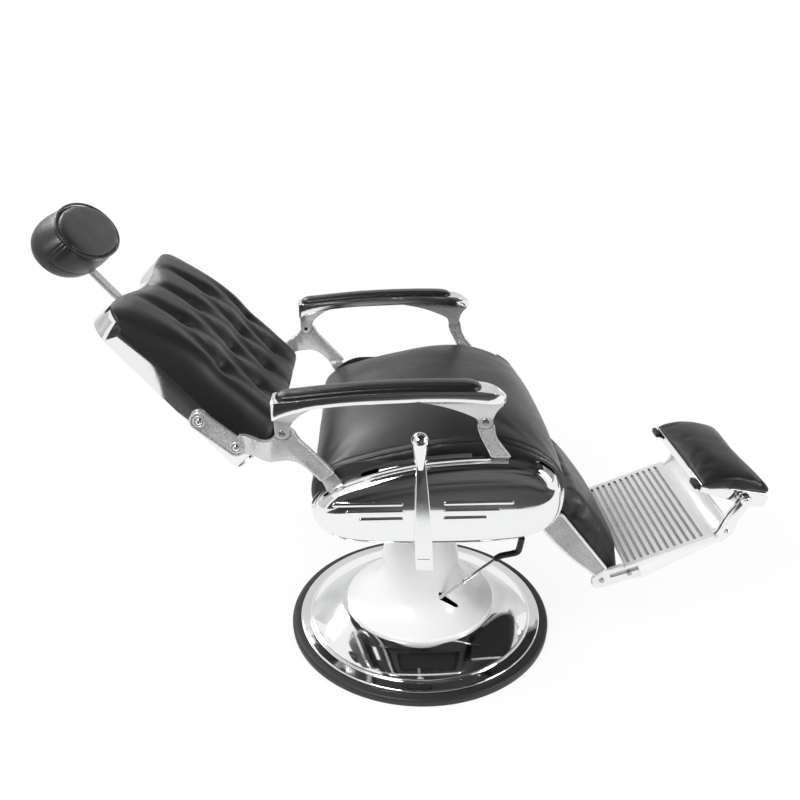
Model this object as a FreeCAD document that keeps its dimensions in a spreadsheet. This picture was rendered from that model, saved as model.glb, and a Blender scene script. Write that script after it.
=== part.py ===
"""Hydraulic barber chair, reclined and raised, as separate parts (millimetres).

The origin is the centre of the base on the floor. +Z is up, +X is the way the
sitter faces, and -Y is the sitter's right, where the recline lever is.
"""
import FreeCAD, Part
import math
import os
import re
import Sketcher
from FreeCAD import Placement, Rotation, Vector

os.makedirs("parts", exist_ok=True)
doc = FreeCAD.newDocument("barber_chair")

SIZES = {
    # Base
    "base_radius": 330,
    "ring_width": 30,
    "ring_height": 20,
    "ring_ledge": 11,
    "ring_lap": 8,
    "plate_thickness": 10,
    "sheet_wall": 2,
    "lip_width": 24,
    "lip_rise": 19,
    "dome_rise": 31,
    "bell_foot_radius": 187,
    "bell_foot_height": 10,
    "bell_waist_radius": 95,
    "bell_waist_rise": 138,
    "bell_top_radius": 84,
    "bell_top_rise": 72,
    "bell_wall": 2.5,
    # Pump and pedal
    "flange_radius": 78,
    "flange_thickness": 12,
    "cylinder_radius": 44,
    "piston_radius": 36,
    "cylinder_floor": 8,
    "cylinder_height": 215,
    "rod_radius": 28,
    "gland_radius": 50,
    "gland_height": 18,
    "running_clearance": 0.05,
    "bolt_circle": 64,
    "bolt_size": 8,
    "bolt_height": 8,
    "bolt_count": 6,
    "pedal_x": -20,
    "pedal_y": 100,
    "pedal_z": 77,
    "pedal_angle": 39.3,
    "pedal_length": 256,
    "pedal_rod_radius": 4.2,
    "pedal_hub_radius": 11,
    "pedal_hub_width": 21,
    "pedal_pin_radius": 5,
    "pedal_ear": 6,
    "grip_radius": 8,
    "plunger_radius": 6,
    "plunger_offset": 34,
    "plunger_top": 93.5,
    "plunger_length": 54,
    "barrel_wall": 8,
    "barrel_height": 60,
    "slot_width": 15,
    # Lifting rod and swivel
    "lift_stroke": 140,
    "piston_height": 18,
    "rod_top": 417,
    "bearing_height": 8,
    "bearing_bore": 10,
    "hub_radius": 46,
    "hub_depth": 20,
    "hub_roof": 15,
    # Seat frame
    "mount_plate": 8,
    "mount_half_width": 80,
    "rail_depth": 22,
    "rail_width": 30,
    "rail_rear": -150,
    "rail_front": 230,
    "frame_half_width": 300,
    "board_thickness": 10,
    "board_overhang": 14,
    "board_side_gap": 8,
    # Seat cushion
    "cushion_side_gap": 4,
    "cushion_half_width": "=frame_half_width - cushion_side_gap",
    "cushion_rear": -246,
    "cushion_front": 296,
    "seam_height": 173,
    "crown_height": 19,
    "cushion_roll": 44,
    # Side plates and covers
    "side_plate": 4,
    "cover_centre_x": 13,
    "cover_centre_z": 519,
    "cover_length": 498,
    "cover_height": 192,
    "cover_depth": 42,
    "cover_edge_round": 36,
    "flange_lap": 5,
    "trim_length": 140,
    "trim_height": 7,
    "trim_pitch": 17,
    "trim_depth": 3,
    "trim_step": 26,
    "trim_gap": 40,
    "trim_count": 3,
    # Recline linkage
    "recline_pivot_x": -174,
    "recline_pivot_z": 447,
    "recline_tilt": 39.7,
    "shaft_radius": 9,
    "arm_pivot_x": -289,
    "arm_pivot_z": 687,
    "post_pivot_x": 101.5,
    "post_pivot_z": 706,
    "arm_offset": 18,
    "arm_plane": "=frame_half_width + side_plate + arm_offset",
    "casting_thickness": 14,
    "eye_thickness": 9,
    "eye_radius": 13,
    "fork_gap": 0.4,
    "fork_cheek": 4.5,
    "fork_relief": 5,
    "arm_pin_radius": 5,
    "post_pin_radius": 6,
    "hidden_thickness": 7,
    "crank_radius": 28,
    "crank_thickness": 12,
    "crank_pin_radius": 3,
    "lock_rod_radius": 5,
    "lock_radius": 14,
    "lock_length": 56,
    # Armrests
    "armrest_width": 56,
    "arm_pad_width": 44,
    "arm_pad_rise": 11,
    # Back
    "back_side_gap": 45,
    "back_half_width": "=frame_half_width - back_side_gap",
    "back_bottom": 225,
    "back_length": 413,
    "top_dip": 24,
    "band_rear": 90,
    "band_depth": 46,
    "band_wall": 2.5,
    "back_board": 12,
    "back_crown": 67,
    "back_roll": 46,
    "back_pull": 34,
    "tuft_depth": 14,
    "tuft_pitch": 117,
    "button_radius": 10,
    "button_height": 7,
    # Headrest
    "stem_depth": 112,
    "stem_width": 30,
    "stem_thickness": 8,
    "stem_bottom": 520,
    "hinge_rise": 745,
    "socket_bottom": 535,
    "socket_height": 70,
    "socket_wall": 8,
    "knob_radius": 14,
    "knob_length": 24,
    "headrest_half_width": 142,
    "headrest_half_height": 72,
    "headrest_lift": 36,
    "headrest_rise": "=hinge_rise + headrest_lift",
    "headrest_depth": 115,
    "headrest_front": 42,
    "pocket_half_width": 24,
    "pocket_depth": 46,
    "hinge_pin_radius": 3,
    # Legrest
    "leg_thickness": 10,
    "hanger_thickness": 8,
    "calf_gap": 3,
    "calf_roll": 26,
    "foot_x": 452,
    "foot_z": 262,
    "foot_angle": 22,
    "foot_length": 222,
    "foot_half_width": 184,
    "foot_skirt": 6,
    "foot_plate": 8,
    "groove_width": 7,
    "groove_depth": 5,
    "groove_pitch": 16,
    "groove_count": 12,
    "foot_rail": 12,
    "leg_fit": 2,
    "leg_inner": "=foot_half_width - foot_skirt - foot_rail - leg_fit",
    # Foot pad
    "pad_pivot_x": 720,
    "pad_pivot_z": 432,
    "pad_side_gap": 8,
    "pad_half_width": "=foot_half_width - foot_skirt - foot_rail - pad_side_gap",
    "tray_wall": 3,
    "pad_crown": 26,
    "pad_roll": 20,
    "pad_pin_radius": 5,
    # Recline lever
    "lever_pivot_x": -17,
    "lever_pivot_z": 438,
    "lever_gap": 4,
    "lever_thickness": 14,
    "lever_ball_radius": 17,
    "lever_length": 238,
    "lever_shaft_radius": 6,
    "lever_shaft_length": 110,
}

sheet = doc.addObject("Spreadsheet::Sheet", "Sizes")
for row, (alias, value) in enumerate(SIZES.items(), start=1):
    sheet.set("A%d" % row, alias)
    sheet.set("B%d" % row, str(value))
    sheet.setAlias("B%d" % row, alias)
doc.recompute()


def size(alias):
    """A size read from the sheet, as a plain number."""
    return float(getattr(sheet, alias))


def bind(thing, prop, text):
    """Bind a property to a formula of sheet aliases."""
    formula = re.sub(r"[a-z_]+[a-z0-9_]*", lambda word: named(word.group()), text)
    thing.setExpression(prop, formula)


def named(word):
    """The sheet's full name for an alias; other words stay as they are."""
    return "Sizes." + word if word in SIZES else word


def place(thing, x="0", y="0", z="0"):
    """Bind where a piece stands."""
    bind(thing, "Placement.Base.x", x)
    bind(thing, "Placement.Base.y", y)
    bind(thing, "Placement.Base.z", z)


def lean(thing, x, y, z, angle):
    """Bind where a piece stands and how far it leans back about the Y axis."""
    thing.Placement = Placement(Vector(), Rotation(Vector(0, -1, 0), size(angle)))
    place(thing, x, y, z)
    bind(thing, "Placement.Rotation.Angle", angle)


def lean_with_back(thing, y="0"):
    """Stand a piece drawn upright in the back's own axes."""
    lean(thing, "recline_pivot_x", y, "recline_pivot_z", "recline_tilt")


# Shared levels and places, worked out from the sizes

PLATE_RADIUS = size("base_radius") - size("ring_width")
LAND = size("ring_ledge") + size("lip_rise") + size("dome_rise")
HUB_BOTTOM = size("rod_top") + size("bearing_height") - size("hub_depth")
MOUNT_BOTTOM = size("rod_top") + size("bearing_height") + size("hub_roof")
RAIL_BOTTOM = MOUNT_BOTTOM + size("mount_plate")
RAIL_TOP = RAIL_BOTTOM + size("rail_depth")
SEAT_BASE = RAIL_TOP + size("board_thickness")
RAIL_BOTTOM_TEXT = "rod_top + bearing_height + hub_roof + mount_plate"
RAIL_TOP_TEXT = RAIL_BOTTOM_TEXT + " + rail_depth"
SEAT_BASE_TEXT = RAIL_TOP_TEXT + " + board_thickness"
COVER_INNER = size("frame_half_width") + size("side_plate")
COVER_INNER_TEXT = "frame_half_width + side_plate"
COVER_OUTER_TEXT = COVER_INNER_TEXT + " + cover_depth"
RECLINE = Vector(size("recline_pivot_x"), size("recline_pivot_z"), 0)
ARM_REAR = Vector(size("arm_pivot_x"), size("arm_pivot_z"), 0)
ARM_FRONT = Vector(size("post_pivot_x"), size("post_pivot_z"), 0)
POST_FOOT = RECLINE + ARM_FRONT - ARM_REAR
POST_FOOT_X = "recline_pivot_x + post_pivot_x - arm_pivot_x"
POST_FOOT_Z = "recline_pivot_z + post_pivot_z - arm_pivot_z"


# Drawing helpers

def run(start, *steps):
    """Edges from start: a point is a straight step, (middle, end) an arc."""
    edges = []
    here = Vector(start[0], start[1], 0)
    for step in steps:
        if isinstance(step[0], (tuple, Vector)):
            middle = Vector(step[0][0], step[0][1], 0)
            end = Vector(step[1][0], step[1][1], 0)
            edges.append(Part.Arc(here, middle, end))
        else:
            end = Vector(step[0], step[1], 0)
            edges.append(Part.LineSegment(here, end))
        here = end
    return edges


def circle(x, z, radius):
    """A full circle as one edge."""
    return [Part.Circle(Vector(x, z, 0), Vector(0, 0, 1), radius)]


def box_outline(x0, z0, x1, z1):
    """Four straight edges."""
    return run((x0, z0), (x1, z0), (x1, z1), (x0, z1), (x0, z0))


def pill(x, z, length, height):
    """A racetrack outline: two straight runs and two half-round ends."""
    end = height / 2
    half = length / 2 - end
    return run((x - half, z - end), (x + half, z - end),
               ((x + half + end, z), (x + half, z + end)),
               (x - half, z + end),
               ((x - half - end, z), (x - half, z - end)))


def slanted_pill(start, finish, radius):
    """A racetrack around the line from start to finish."""
    along = (finish - start).normalize()
    across = Vector(-along.y, along.x, 0) * radius
    along = along * radius
    return run(start - across, finish - across,
               (finish + along, finish + across),
               start + across,
               (start - along, start - across))


def new_body(name):
    """An empty PartDesign body labelled as its node."""
    body = doc.addObject("PartDesign::Body", name)
    body.Label = name
    return body


def draw(body, plane, edges, offset=None):
    """A sketch on one of the body's own origin planes."""
    support = [item for item in body.Origin.OriginFeatures if item.Role == plane][0]
    sketch = body.newObject("Sketcher::SketchObject", body.Name + "_outline")
    sketch.AttachmentSupport = (support, [""])
    sketch.MapMode = "FlatFace"
    if offset is not None:
        bind(sketch, "AttachmentOffset.Base.z", offset)
    sketch.addGeometry(edges, False)
    return sketch


def pad(body, plane, edges, length, offset=None):
    """Pad an outline away from its plane by a bound length."""
    sketch = draw(body, plane, edges, offset)
    feature = body.newObject("PartDesign::Pad", body.Name + "_pad")
    feature.Profile = sketch
    bind(feature, "Length", length)
    doc.recompute()
    return feature


def pocket(body, plane, edges, length, offset=None, reverse=True):
    """Cut an outline by a bound length, and check that the cut took something."""
    before = body.Shape.Volume
    sketch = draw(body, plane, edges, offset)
    feature = body.newObject("PartDesign::Pocket", body.Name + "_pocket")
    feature.Profile = sketch
    feature.Reversed = reverse
    bind(feature, "Length", length)
    doc.recompute()
    if body.Shape.Volume >= before:
        raise RuntimeError("empty pocket in " + body.Name)
    return feature


def turn(body, edges):
    """Revolve a half profile (radius, height) about the Z axis."""
    sketch = draw(body, "XZ_Plane", edges)
    feature = body.newObject("PartDesign::Revolution", body.Name + "_turn")
    feature.Profile = sketch
    feature.ReferenceAxis = (sketch, ["V_Axis"])
    feature.Angle = 360
    doc.recompute()
    return feature


def fillet(body, radius, wanted):
    """Round the body's edges that wanted() picks, by a bound radius."""
    doc.recompute()
    names = ["Edge%d" % number for number, edge in enumerate(body.Shape.Edges, start=1)
             if wanted(edge)]
    base = body.Tip
    feature = body.newObject("PartDesign::Fillet", body.Name + "_round")
    feature.Base = (base, names)
    bind(feature, "Radius", radius)
    doc.recompute()
    return feature


def cylinder(name, radius, height, x="0", y="0", z="0", turn_to=None):
    """A Part cylinder with bound sizes; turn_to is the rotation of its axis."""
    thing = doc.addObject("Part::Cylinder", name)
    if turn_to is not None:
        thing.Placement = Placement(Vector(), turn_to)
    bind(thing, "Radius", radius)
    bind(thing, "Height", height)
    place(thing, x, y, z)
    return thing


def block(name, length, width, height, x, y, z):
    """A Part box with bound sizes, from its low corner."""
    thing = doc.addObject("Part::Box", name)
    bind(thing, "Length", length)
    bind(thing, "Width", width)
    bind(thing, "Height", height)
    place(thing, x, y, z)
    return thing


def join(name, pieces):
    """One labelled node from several solids."""
    thing = doc.addObject("Part::MultiFuse", name)
    thing.Shapes = pieces
    thing.Label = name
    doc.recompute()
    return thing


def cut(name, base, tool):
    """A labelled node: base less tool."""
    thing = doc.addObject("Part::Cut", name)
    thing.Base = base
    thing.Tool = tool
    thing.Label = name
    doc.recompute()
    return thing


def mirror(name, source):
    """The same piece on the sitter's left."""
    thing = doc.addObject("Part::Mirroring", name)
    thing.Source = source
    thing.Normal = Vector(0, 1, 0)
    thing.Base = Vector(0, 0, 0)
    thing.Label = name
    doc.recompute()
    return thing


def shape_feature(name, shape, placement=None):
    """A Part feature whose shape is worked out here."""
    thing = doc.addObject("Part::Feature", name)
    thing.Shape = shape
    if placement is not None:
        thing.Placement = placement
    thing.Label = name
    return thing


def section(edges, y):
    """A closed wire in the plane at this Y, from edges drawn in X and Z."""
    wire = Part.Wire([edge.toShape() for edge in edges])
    upright = Placement(Vector(0, y, 0), Rotation(Vector(1, 0, 0), 90))
    return wire.transformed(upright.toMatrix())


def stuffed(outline, stations):
    """A ruled loft across Y through outline(inset, drop) at each station."""
    wires = [section(outline(inset, drop), y) for y, inset, drop in stations]
    return Part.makeLoft(wires, True, True)


def rounded_ends(half, roll, inset, drop):
    """Stations (y, inset, drop) across a cushion whose two sides roll under."""
    side = [(half * 0.45, 0, drop * 0.05)]
    for share in (0, 0.3, 0.55, 0.75, 0.9, 1):
        fall = 1 - math.sqrt(1 - share ** 2)
        side.append((half - roll * (1 - share), inset * fall, drop * (0.16 + 0.84 * fall)))
    return [(-y, i, d) for y, i, d in reversed(side)] + [(0, 0, 0)] + side


OUTWARD = Rotation(Vector(1, 0, 0), 90)
ALONG_X = Rotation(Vector(0, 1, 0), 90)
BACKWARD = Rotation(Vector(0, 1, 0), -90)


# Base

def make_base_plate():
    """The heavy round plate that stands on the floor."""
    plate = cylinder("base_plate", "base_radius - ring_width", "plate_thickness")
    plate.Label = "base_plate"
    return plate


def make_floor_ring():
    """The rubber ring round the plate, with a ledge for the cover's edge."""
    outer = size("base_radius")
    top = size("ring_height")
    ledge = size("ring_ledge")
    body = new_body("floor_ring")
    turn(body, run((PLATE_RADIUS, 0), (outer - 8, 0),
                   ((outer - 2, 2.5), (outer, 8)),
                   ((outer - 3, 16), (outer - 12, top)),
                   (PLATE_RADIUS + size("ring_lap"), top),
                   (PLATE_RADIUS + size("ring_lap"), ledge),
                   (PLATE_RADIUS, ledge), (PLATE_RADIUS, 0)))
    return body


def make_base_cover():
    """The polished dished cover between the ring and the bell."""
    wall = size("sheet_wall")
    edge = PLATE_RADIUS + size("ring_lap") - 0.5
    ledge = size("ring_ledge")
    lip = edge - size("lip_width")
    step = ledge + size("lip_rise")
    land = size("bell_foot_radius") + 3
    bore = size("bell_foot_radius") - 30
    middle = (lip + land) / 2
    body = new_body("base_cover")
    turn(body, run((edge - wall, ledge), (edge, ledge), (edge, ledge + 6),
                   ((edge - 2, ledge + 11), (edge - 8, ledge + 13)),
                   (lip, step), (lip - 4, step),
                   ((middle, LAND - 11), (land, LAND)),
                   (bore, LAND), (bore, LAND - wall), (land - 1, LAND - wall),
                   ((middle, LAND - 11 - wall), (lip - 5, step - wall)),
                   (lip, step - wall), (edge - 9, ledge + 11),
                   ((edge - 3.4, ledge + 9.6), (edge - wall, ledge + 5)),
                   (edge - wall, ledge)))
    return body


def make_bell_cover():
    """The trumpet-shaped enamelled cover over the pump, slotted for the pedal."""
    wall = size("bell_wall")
    foot = size("bell_foot_radius")
    rim = LAND + size("bell_foot_height")
    waist = size("bell_waist_radius")
    waist_z = LAND + size("bell_waist_rise")
    top = size("bell_top_radius")
    top_z = waist_z + size("bell_top_rise")
    bend = (0.68 * waist + 0.32 * foot, 0.65 * rim + 0.35 * waist_z)
    body = new_body("bell_cover")
    turn(body, run((foot - wall, LAND), (foot, LAND), (foot, LAND + 4),
                   ((foot - 1.4, LAND + 8), (foot - 5, rim)),
                   (bend, (waist, waist_z)), (top, top_z), (top - wall, top_z),
                   (waist - wall, waist_z),
                   ((bend[0] - wall * 0.8, bend[1] - wall * 0.8),
                    (foot - 5 - wall * 0.6, rim - wall)),
                   ((foot - wall - 1, LAND + 6), (foot - wall, LAND + 3)),
                   (foot - wall, LAND)))
    pocket(body, "XZ_Plane", box_outline(30, 96, 112, 152), "slot_width",
           "pedal_y - slot_width / 2")
    return body


def make_pump_cylinder():
    """The hydraulic cylinder with its foot flange and small pump barrel."""
    foot = size("plate_thickness")
    flange = foot + size("flange_thickness")
    top = foot + size("cylinder_height")
    bore = size("piston_radius") + size("running_clearance")
    outer = size("cylinder_radius")
    body = new_body("cylinder_shell")
    turn(body, run((0, foot), (size("flange_radius"), foot), (size("flange_radius"), flange),
                   (outer, flange), (outer, top), (bore, top),
                   (bore, foot + size("cylinder_floor")), (0, foot + size("cylinder_floor")),
                   (0, foot)))
    barrel = new_body("barrel_shell")
    inner = size("plunger_radius") + size("running_clearance")
    wall = size("plunger_radius") + size("barrel_wall")
    turn(barrel, run((0, 0), (wall, 0), (wall, size("barrel_height")),
                     (inner, size("barrel_height")), (inner, 15), (0, 15), (0, 0)))
    place(barrel, "pedal_x + plunger_offset", "-pedal_y", "plate_thickness")
    bridge = block("pump_bridge", "plunger_radius * 2", "pedal_y - cylinder_radius / 2",
                   "cylinder_floor", "pedal_x + plunger_offset - plunger_radius",
                   "-pedal_y", "plate_thickness")
    solid = join("pump_block", [body, barrel, bridge])
    bore_tool = cylinder("barrel_bore", "plunger_radius + running_clearance",
                         "barrel_height", "pedal_x + plunger_offset", "-pedal_y",
                         "plate_thickness + 15")
    return cut("pump_cylinder", solid, bore_tool)


def make_gland_nut():
    """The nut that closes the cylinder round the rod."""
    foot = size("plate_thickness") + size("cylinder_height")
    top = foot + size("gland_height")
    bore = size("rod_radius") + size("running_clearance")
    body = new_body("gland_nut")
    turn(body, run((bore, foot), (size("gland_radius"), foot),
                   (size("gland_radius"), top - 4),
                   ((size("gland_radius") - 1.2, top - 1.2), (size("gland_radius") - 4, top)),
                   (bore, top), (bore, foot)))
    return body


def make_pump_bolts():
    """Hexagon heads that hold the pump flange down."""
    heads = []
    for number in range(int(size("bolt_count"))):
        head = doc.addObject("Part::Prism", "pump_bolt_head")
        head.Polygon = 6
        bind(head, "Circumradius", "bolt_size")
        bind(head, "Height", "bolt_height")
        angle = "(%d * 360 / bolt_count + 30)" % number
        place(head, "bolt_circle * cos(%s)" % angle, "bolt_circle * sin(%s)" % angle,
              "plate_thickness + flange_thickness")
        heads.append(head)
    return join("pump_bolts", heads)


def make_pedal_bracket():
    """The two-eared bracket that carries the pedal's pin."""
    ear_span = "(pedal_hub_width + 1 + pedal_ear * 2)"
    foot = block("bracket_foot", "36", ear_span, "pedal_ear",
                 "pedal_x - 18", "-pedal_y - %s / 2" % ear_span, "plate_thickness")
    height = "pedal_z + pedal_hub_radius - plate_thickness"
    near = block("ear_near", "pedal_hub_radius * 2", "pedal_ear", height,
                 "pedal_x - pedal_hub_radius", "-pedal_y - %s / 2" % ear_span,
                 "plate_thickness")
    far = block("ear_far", "pedal_hub_radius * 2", "pedal_ear", height,
                "pedal_x - pedal_hub_radius", "-pedal_y + %s / 2 - pedal_ear" % ear_span,
                "plate_thickness")
    solid = join("bracket_block", [foot, near, far])
    bore = cylinder("bracket_bore", "pedal_pin_radius", "pedal_hub_width * 2",
                    "pedal_x", "-pedal_y + pedal_hub_width", "pedal_z", OUTWARD)
    return cut("pedal_bracket", solid, bore)


def make_pedal_pin():
    """The pin through the bracket and the pedal's hub."""
    span = "(pedal_hub_width + 1 + pedal_ear * 2)"
    pin = cylinder("pedal_pin", "pedal_pin_radius", span, "pedal_x",
                   "-pedal_y + %s / 2" % span, "pedal_z", OUTWARD)
    pin.Label = "pedal_pin"
    return pin


def make_pump_lever():
    """The chromed pedal rod with its hub."""
    hub = cylinder("lever_hub", "pedal_hub_radius", "pedal_hub_width - 1", "pedal_x",
                   "-pedal_y + (pedal_hub_width - 1) / 2", "pedal_z", OUTWARD)
    rod = doc.addObject("Part::Cylinder", "lever_rod")
    rod.Placement = Placement(Vector(), Rotation(Vector(0, 1, 0), 90 - size("pedal_angle")))
    bind(rod, "Radius", "pedal_rod_radius")
    bind(rod, "Height", "pedal_length")
    place(rod, "pedal_x", "-pedal_y", "pedal_z")
    bind(rod, "Placement.Rotation.Angle", "90 - pedal_angle")
    solid = join("lever_solid", [hub, rod])
    bore = cylinder("lever_bore", "pedal_pin_radius + running_clearance",
                    "pedal_hub_width * 2", "pedal_x", "-pedal_y + pedal_hub_width",
                    "pedal_z", OUTWARD)
    return cut("pump_lever", solid, bore)


def make_pedal_grip():
    """The rubber sleeve on the pedal's end, which bends flat and then up."""
    angle = math.radians(size("pedal_angle"))
    along = Vector(math.cos(angle), 0, math.sin(angle))
    start = Vector(size("pedal_x"), -size("pedal_y"), size("pedal_z"))
    start = start + along * size("pedal_length")
    knee = start + along * 9
    flat = Vector(math.cos(math.radians(13)), 0, math.sin(math.radians(13)))
    heel = knee + flat * 42
    rise = Vector(math.cos(math.radians(82)), 0, math.sin(math.radians(82)))
    tip = heel + rise * 38
    first = bend(start, knee, heel, 7)
    second = bend(knee, heel, tip, 15)
    path = Part.Wire([Part.LineSegment(start, first[0]).toShape(), first[1],
                      Part.LineSegment(first[2], second[0]).toShape(), second[1],
                      Part.LineSegment(second[2], tip).toShape()])
    ring = Part.Wire([Part.Circle(start, along, size("grip_radius")).toShape()])
    sleeve = path.makePipeShell([ring], True, False)
    cap = Part.makeSphere(size("grip_radius"), tip)
    return shape_feature("pedal_grip", sleeve.fuse(cap).removeSplitter())


def bend(before, corner, after, reach):
    """Where an arc that rounds a corner starts and ends, and the arc."""
    into = (before - corner).normalize()
    out = (after - corner).normalize()
    first = corner + into * reach
    last = corner + out * reach
    half = into.getAngle(out) / 2
    middle_way = (into + out).normalize()
    centre = corner + middle_way * (reach / math.cos(half))
    middle = centre - middle_way * (reach * math.tan(half))
    return first, Part.Arc(first, middle, last).toShape(), last


def make_pump_plunger():
    """The small plunger that the pedal presses."""
    plunger = cylinder("pump_plunger", "plunger_radius", "plunger_length",
                       "pedal_x + plunger_offset", "-pedal_y",
                       "plunger_top - plunger_length")
    plunger.Label = "pump_plunger"
    return plunger


# Lifting rod and swivel

def make_piston_rod():
    """The lifting rod with its piston."""
    foot = size("plate_thickness") + size("cylinder_floor") + size("lift_stroke") + 2
    head = foot + size("piston_height")
    body = new_body("piston_rod")
    turn(body, run((0, foot), (size("piston_radius"), foot), (size("piston_radius"), head),
                   (size("rod_radius"), head), (size("rod_radius"), size("rod_top")),
                   (0, size("rod_top")), (0, foot)))
    return body


def make_swivel_bearing():
    """The thrust ring that the seat turns on."""
    outer = cylinder("bearing_outer", "rod_radius", "bearing_height", z="rod_top")
    inner = cylinder("bearing_inner", "bearing_bore", "bearing_height", z="rod_top")
    return cut("swivel_bearing", outer, inner)


def make_seat_mount():
    """The socket casting under the seat, with its long plate."""
    bore = size("rod_radius") + size("running_clearance")
    ceiling = size("rod_top") + size("bearing_height")
    body = new_body("mount_socket")
    turn(body, run((bore, HUB_BOTTOM), (size("hub_radius"), HUB_BOTTOM),
                   (size("hub_radius"), MOUNT_BOTTOM), (0, MOUNT_BOTTOM), (0, ceiling),
                   (bore, ceiling), (bore, HUB_BOTTOM)))
    plate = block("mount_slab", "rail_front - rail_rear", "mount_half_width * 2",
                  "mount_plate", "rail_rear", "-mount_half_width",
                  "rod_top + bearing_height + hub_roof")
    return join("seat_mount", [body, plate])


# Seat

def make_seat_frame():
    """Two side rails and two cross rails, welded."""
    rails = []
    for number, y in enumerate(("-frame_half_width", "frame_half_width - rail_width")):
        rails.append(block("side_rail_%d" % number, "rail_front - rail_rear", "rail_width",
                           "rail_depth", "rail_rear", y, RAIL_BOTTOM_TEXT))
    for number, x in enumerate(("rail_rear", "rail_front - rail_width")):
        rails.append(block("cross_rail_%d" % number, "rail_width",
                           "(frame_half_width - rail_width) * 2", "rail_depth", x,
                           "rail_width - frame_half_width", RAIL_BOTTOM_TEXT))
    return join("seat_frame", rails)


def make_seat_board():
    """The board under the cushion."""
    board = block("seat_board", "rail_front - rail_rear + board_overhang * 2",
                  "(frame_half_width - board_side_gap) * 2", "board_thickness",
                  "rail_rear - board_overhang", "board_side_gap - frame_half_width",
                  RAIL_TOP_TEXT)
    board.Label = "seat_board"
    return board


def seat_outline(inset, drop):
    """The cushion's side profile, drawn in by inset and lowered by drop."""
    rear = size("cushion_rear") + inset
    front = size("cushion_front") - inset
    seam = SEAT_BASE + size("seam_height")
    crest = seam + size("crown_height") - drop
    low = SEAT_BASE
    return run((rear + 14, low), ((rear, low + 56), (rear + 22, low + 106 - drop * 0.6)),
               ((rear + 160, crest - 31), (rear + 306, crest)),
               ((rear + 412, crest - 13), (front - 32, low + 112 - drop * 0.6)),
               ((front - 2, low + 68), (front, low + 26)),
               ((front - 5, low + 8), (front - 18, low)), (rear + 14, low))


def make_seat_cushion():
    """The leather seat with its crown and drawn-in sides."""
    stations = rounded_ends(size("cushion_half_width"), size("cushion_roll"), 9, 34)
    return shape_feature("seat_cushion", stuffed(seat_outline, stations))


def side_pill(shrink):
    """The side covers' racetrack, smaller by shrink all round."""
    return pill(size("cover_centre_x"), size("cover_centre_z"),
                size("cover_length") - 2 * shrink, size("cover_height") - 2 * shrink)


def make_side_plates():
    """Steel plates on the rails' outer faces, with the pivot holes."""
    body = new_body("side_plate_right")
    pad(body, "XZ_Plane", side_pill(5), "side_plate")
    place(body, y="-frame_half_width")
    shaft = size("shaft_radius") + size("running_clearance")
    pocket(body, "XZ_Plane", circle(RECLINE.x, RECLINE.y, shaft), "side_plate")
    lever = size("lever_shaft_radius") + size("running_clearance")
    pocket(body, "XZ_Plane", circle(size("lever_pivot_x"), size("lever_pivot_z"), lever),
           "side_plate")
    left = mirror("side_plate_left", body)
    return join("side_plates", [body, left])


def make_side_cover():
    """The domed side cover with its flange, notched for post and bracket."""
    body = new_body("side_cover_right")
    pad(body, "XZ_Plane", side_pill(0), "cover_depth")
    depth = size("cover_depth")
    fillet(body, "cover_edge_round", lambda edge: edge.CenterOfMass.y < -depth + 0.01)
    inner = min(range(len(body.Shape.Faces)),
                key=lambda number: abs(body.Shape.Faces[number].CenterOfMass.y))
    dome = body.Tip
    hollow = body.newObject("PartDesign::Thickness", "cover_hollow")
    hollow.Base = (dome, ["Face%d" % (inner + 1)])
    bind(hollow, "Value", "sheet_wall")
    hollow.Reversed = True
    doc.recompute()
    flange = side_pill(-size("flange_lap")) + side_pill(size("sheet_wall") / 2)
    pad(body, "XZ_Plane", flange, "sheet_wall")
    reach = "arm_plane + casting_thickness / 2 + 3 - frame_half_width - side_plate"
    past_flange = "%s - sheet_wall" % reach
    top = size("cover_centre_z") + size("cover_height") / 2
    pocket(body, "XZ_Plane", box_outline(81, top - 1, 217, top + 20), "sheet_wall")
    pocket(body, "XZ_Plane",
           run((106, top - 17), (170, top - 26), (246, top - 48), (246, top + 20),
               (106, top + 20), (106, top - 17)), past_flange, "sheet_wall")
    left = size("cover_centre_x") - size("cover_length") / 2
    pocket(body, "XZ_Plane",
           run((left - 12, top - 47), (left + 24, top - 60), (left + 46, top - 43),
               (left + 97, top - 30), (left + 97, top + 20), (left - 12, top + 20),
               (left - 12, top - 47)), "sheet_wall")
    pocket(body, "XZ_Plane",
           run((left - 12, top - 47), (left + 24, top - 60), (left + 46, top - 43),
               (left + 132, top - 28), (left + 132, top + 20), (left - 12, top + 20),
               (left - 12, top - 47)), past_flange, "sheet_wall")
    lever = size("lever_shaft_radius") + 1
    pocket(body, "XZ_Plane", circle(size("lever_pivot_x"), size("lever_pivot_z"), lever),
           "cover_depth + 5")
    place(body, y="-(%s)" % COVER_INNER_TEXT)
    return body


def make_side_trims():
    """Raised level bars on the covers' faces."""
    bars = []
    for number in range(int(size("trim_count"))):
        length = "trim_length - %d * trim_step" % number
        level = "cover_centre_z + trim_pitch * %d - trim_height / 2" % (1 - number)
        for start in ("lever_pivot_x + trim_gap",
                      "lever_pivot_x - trim_gap - (%s)" % length):
            bars.append(block("trim_bar", length, "trim_depth", "trim_height", start,
                              "-(%s) - trim_depth" % COVER_OUTER_TEXT, level))
    right = join("side_trim_right", bars)
    left = mirror("side_trim_left", right)
    return join("side_trims", [right, left])


def make_post_pins():
    """Studs on the side plates for the front posts."""
    right = cylinder("post_pin_right", "post_pin_radius", "hidden_thickness + 8",
                     POST_FOOT_X, "-(%s)" % COVER_INNER_TEXT, POST_FOOT_Z, OUTWARD)
    left = mirror("post_pin_left", right)
    return join("post_pins", [right, left])


# Legrest

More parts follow.
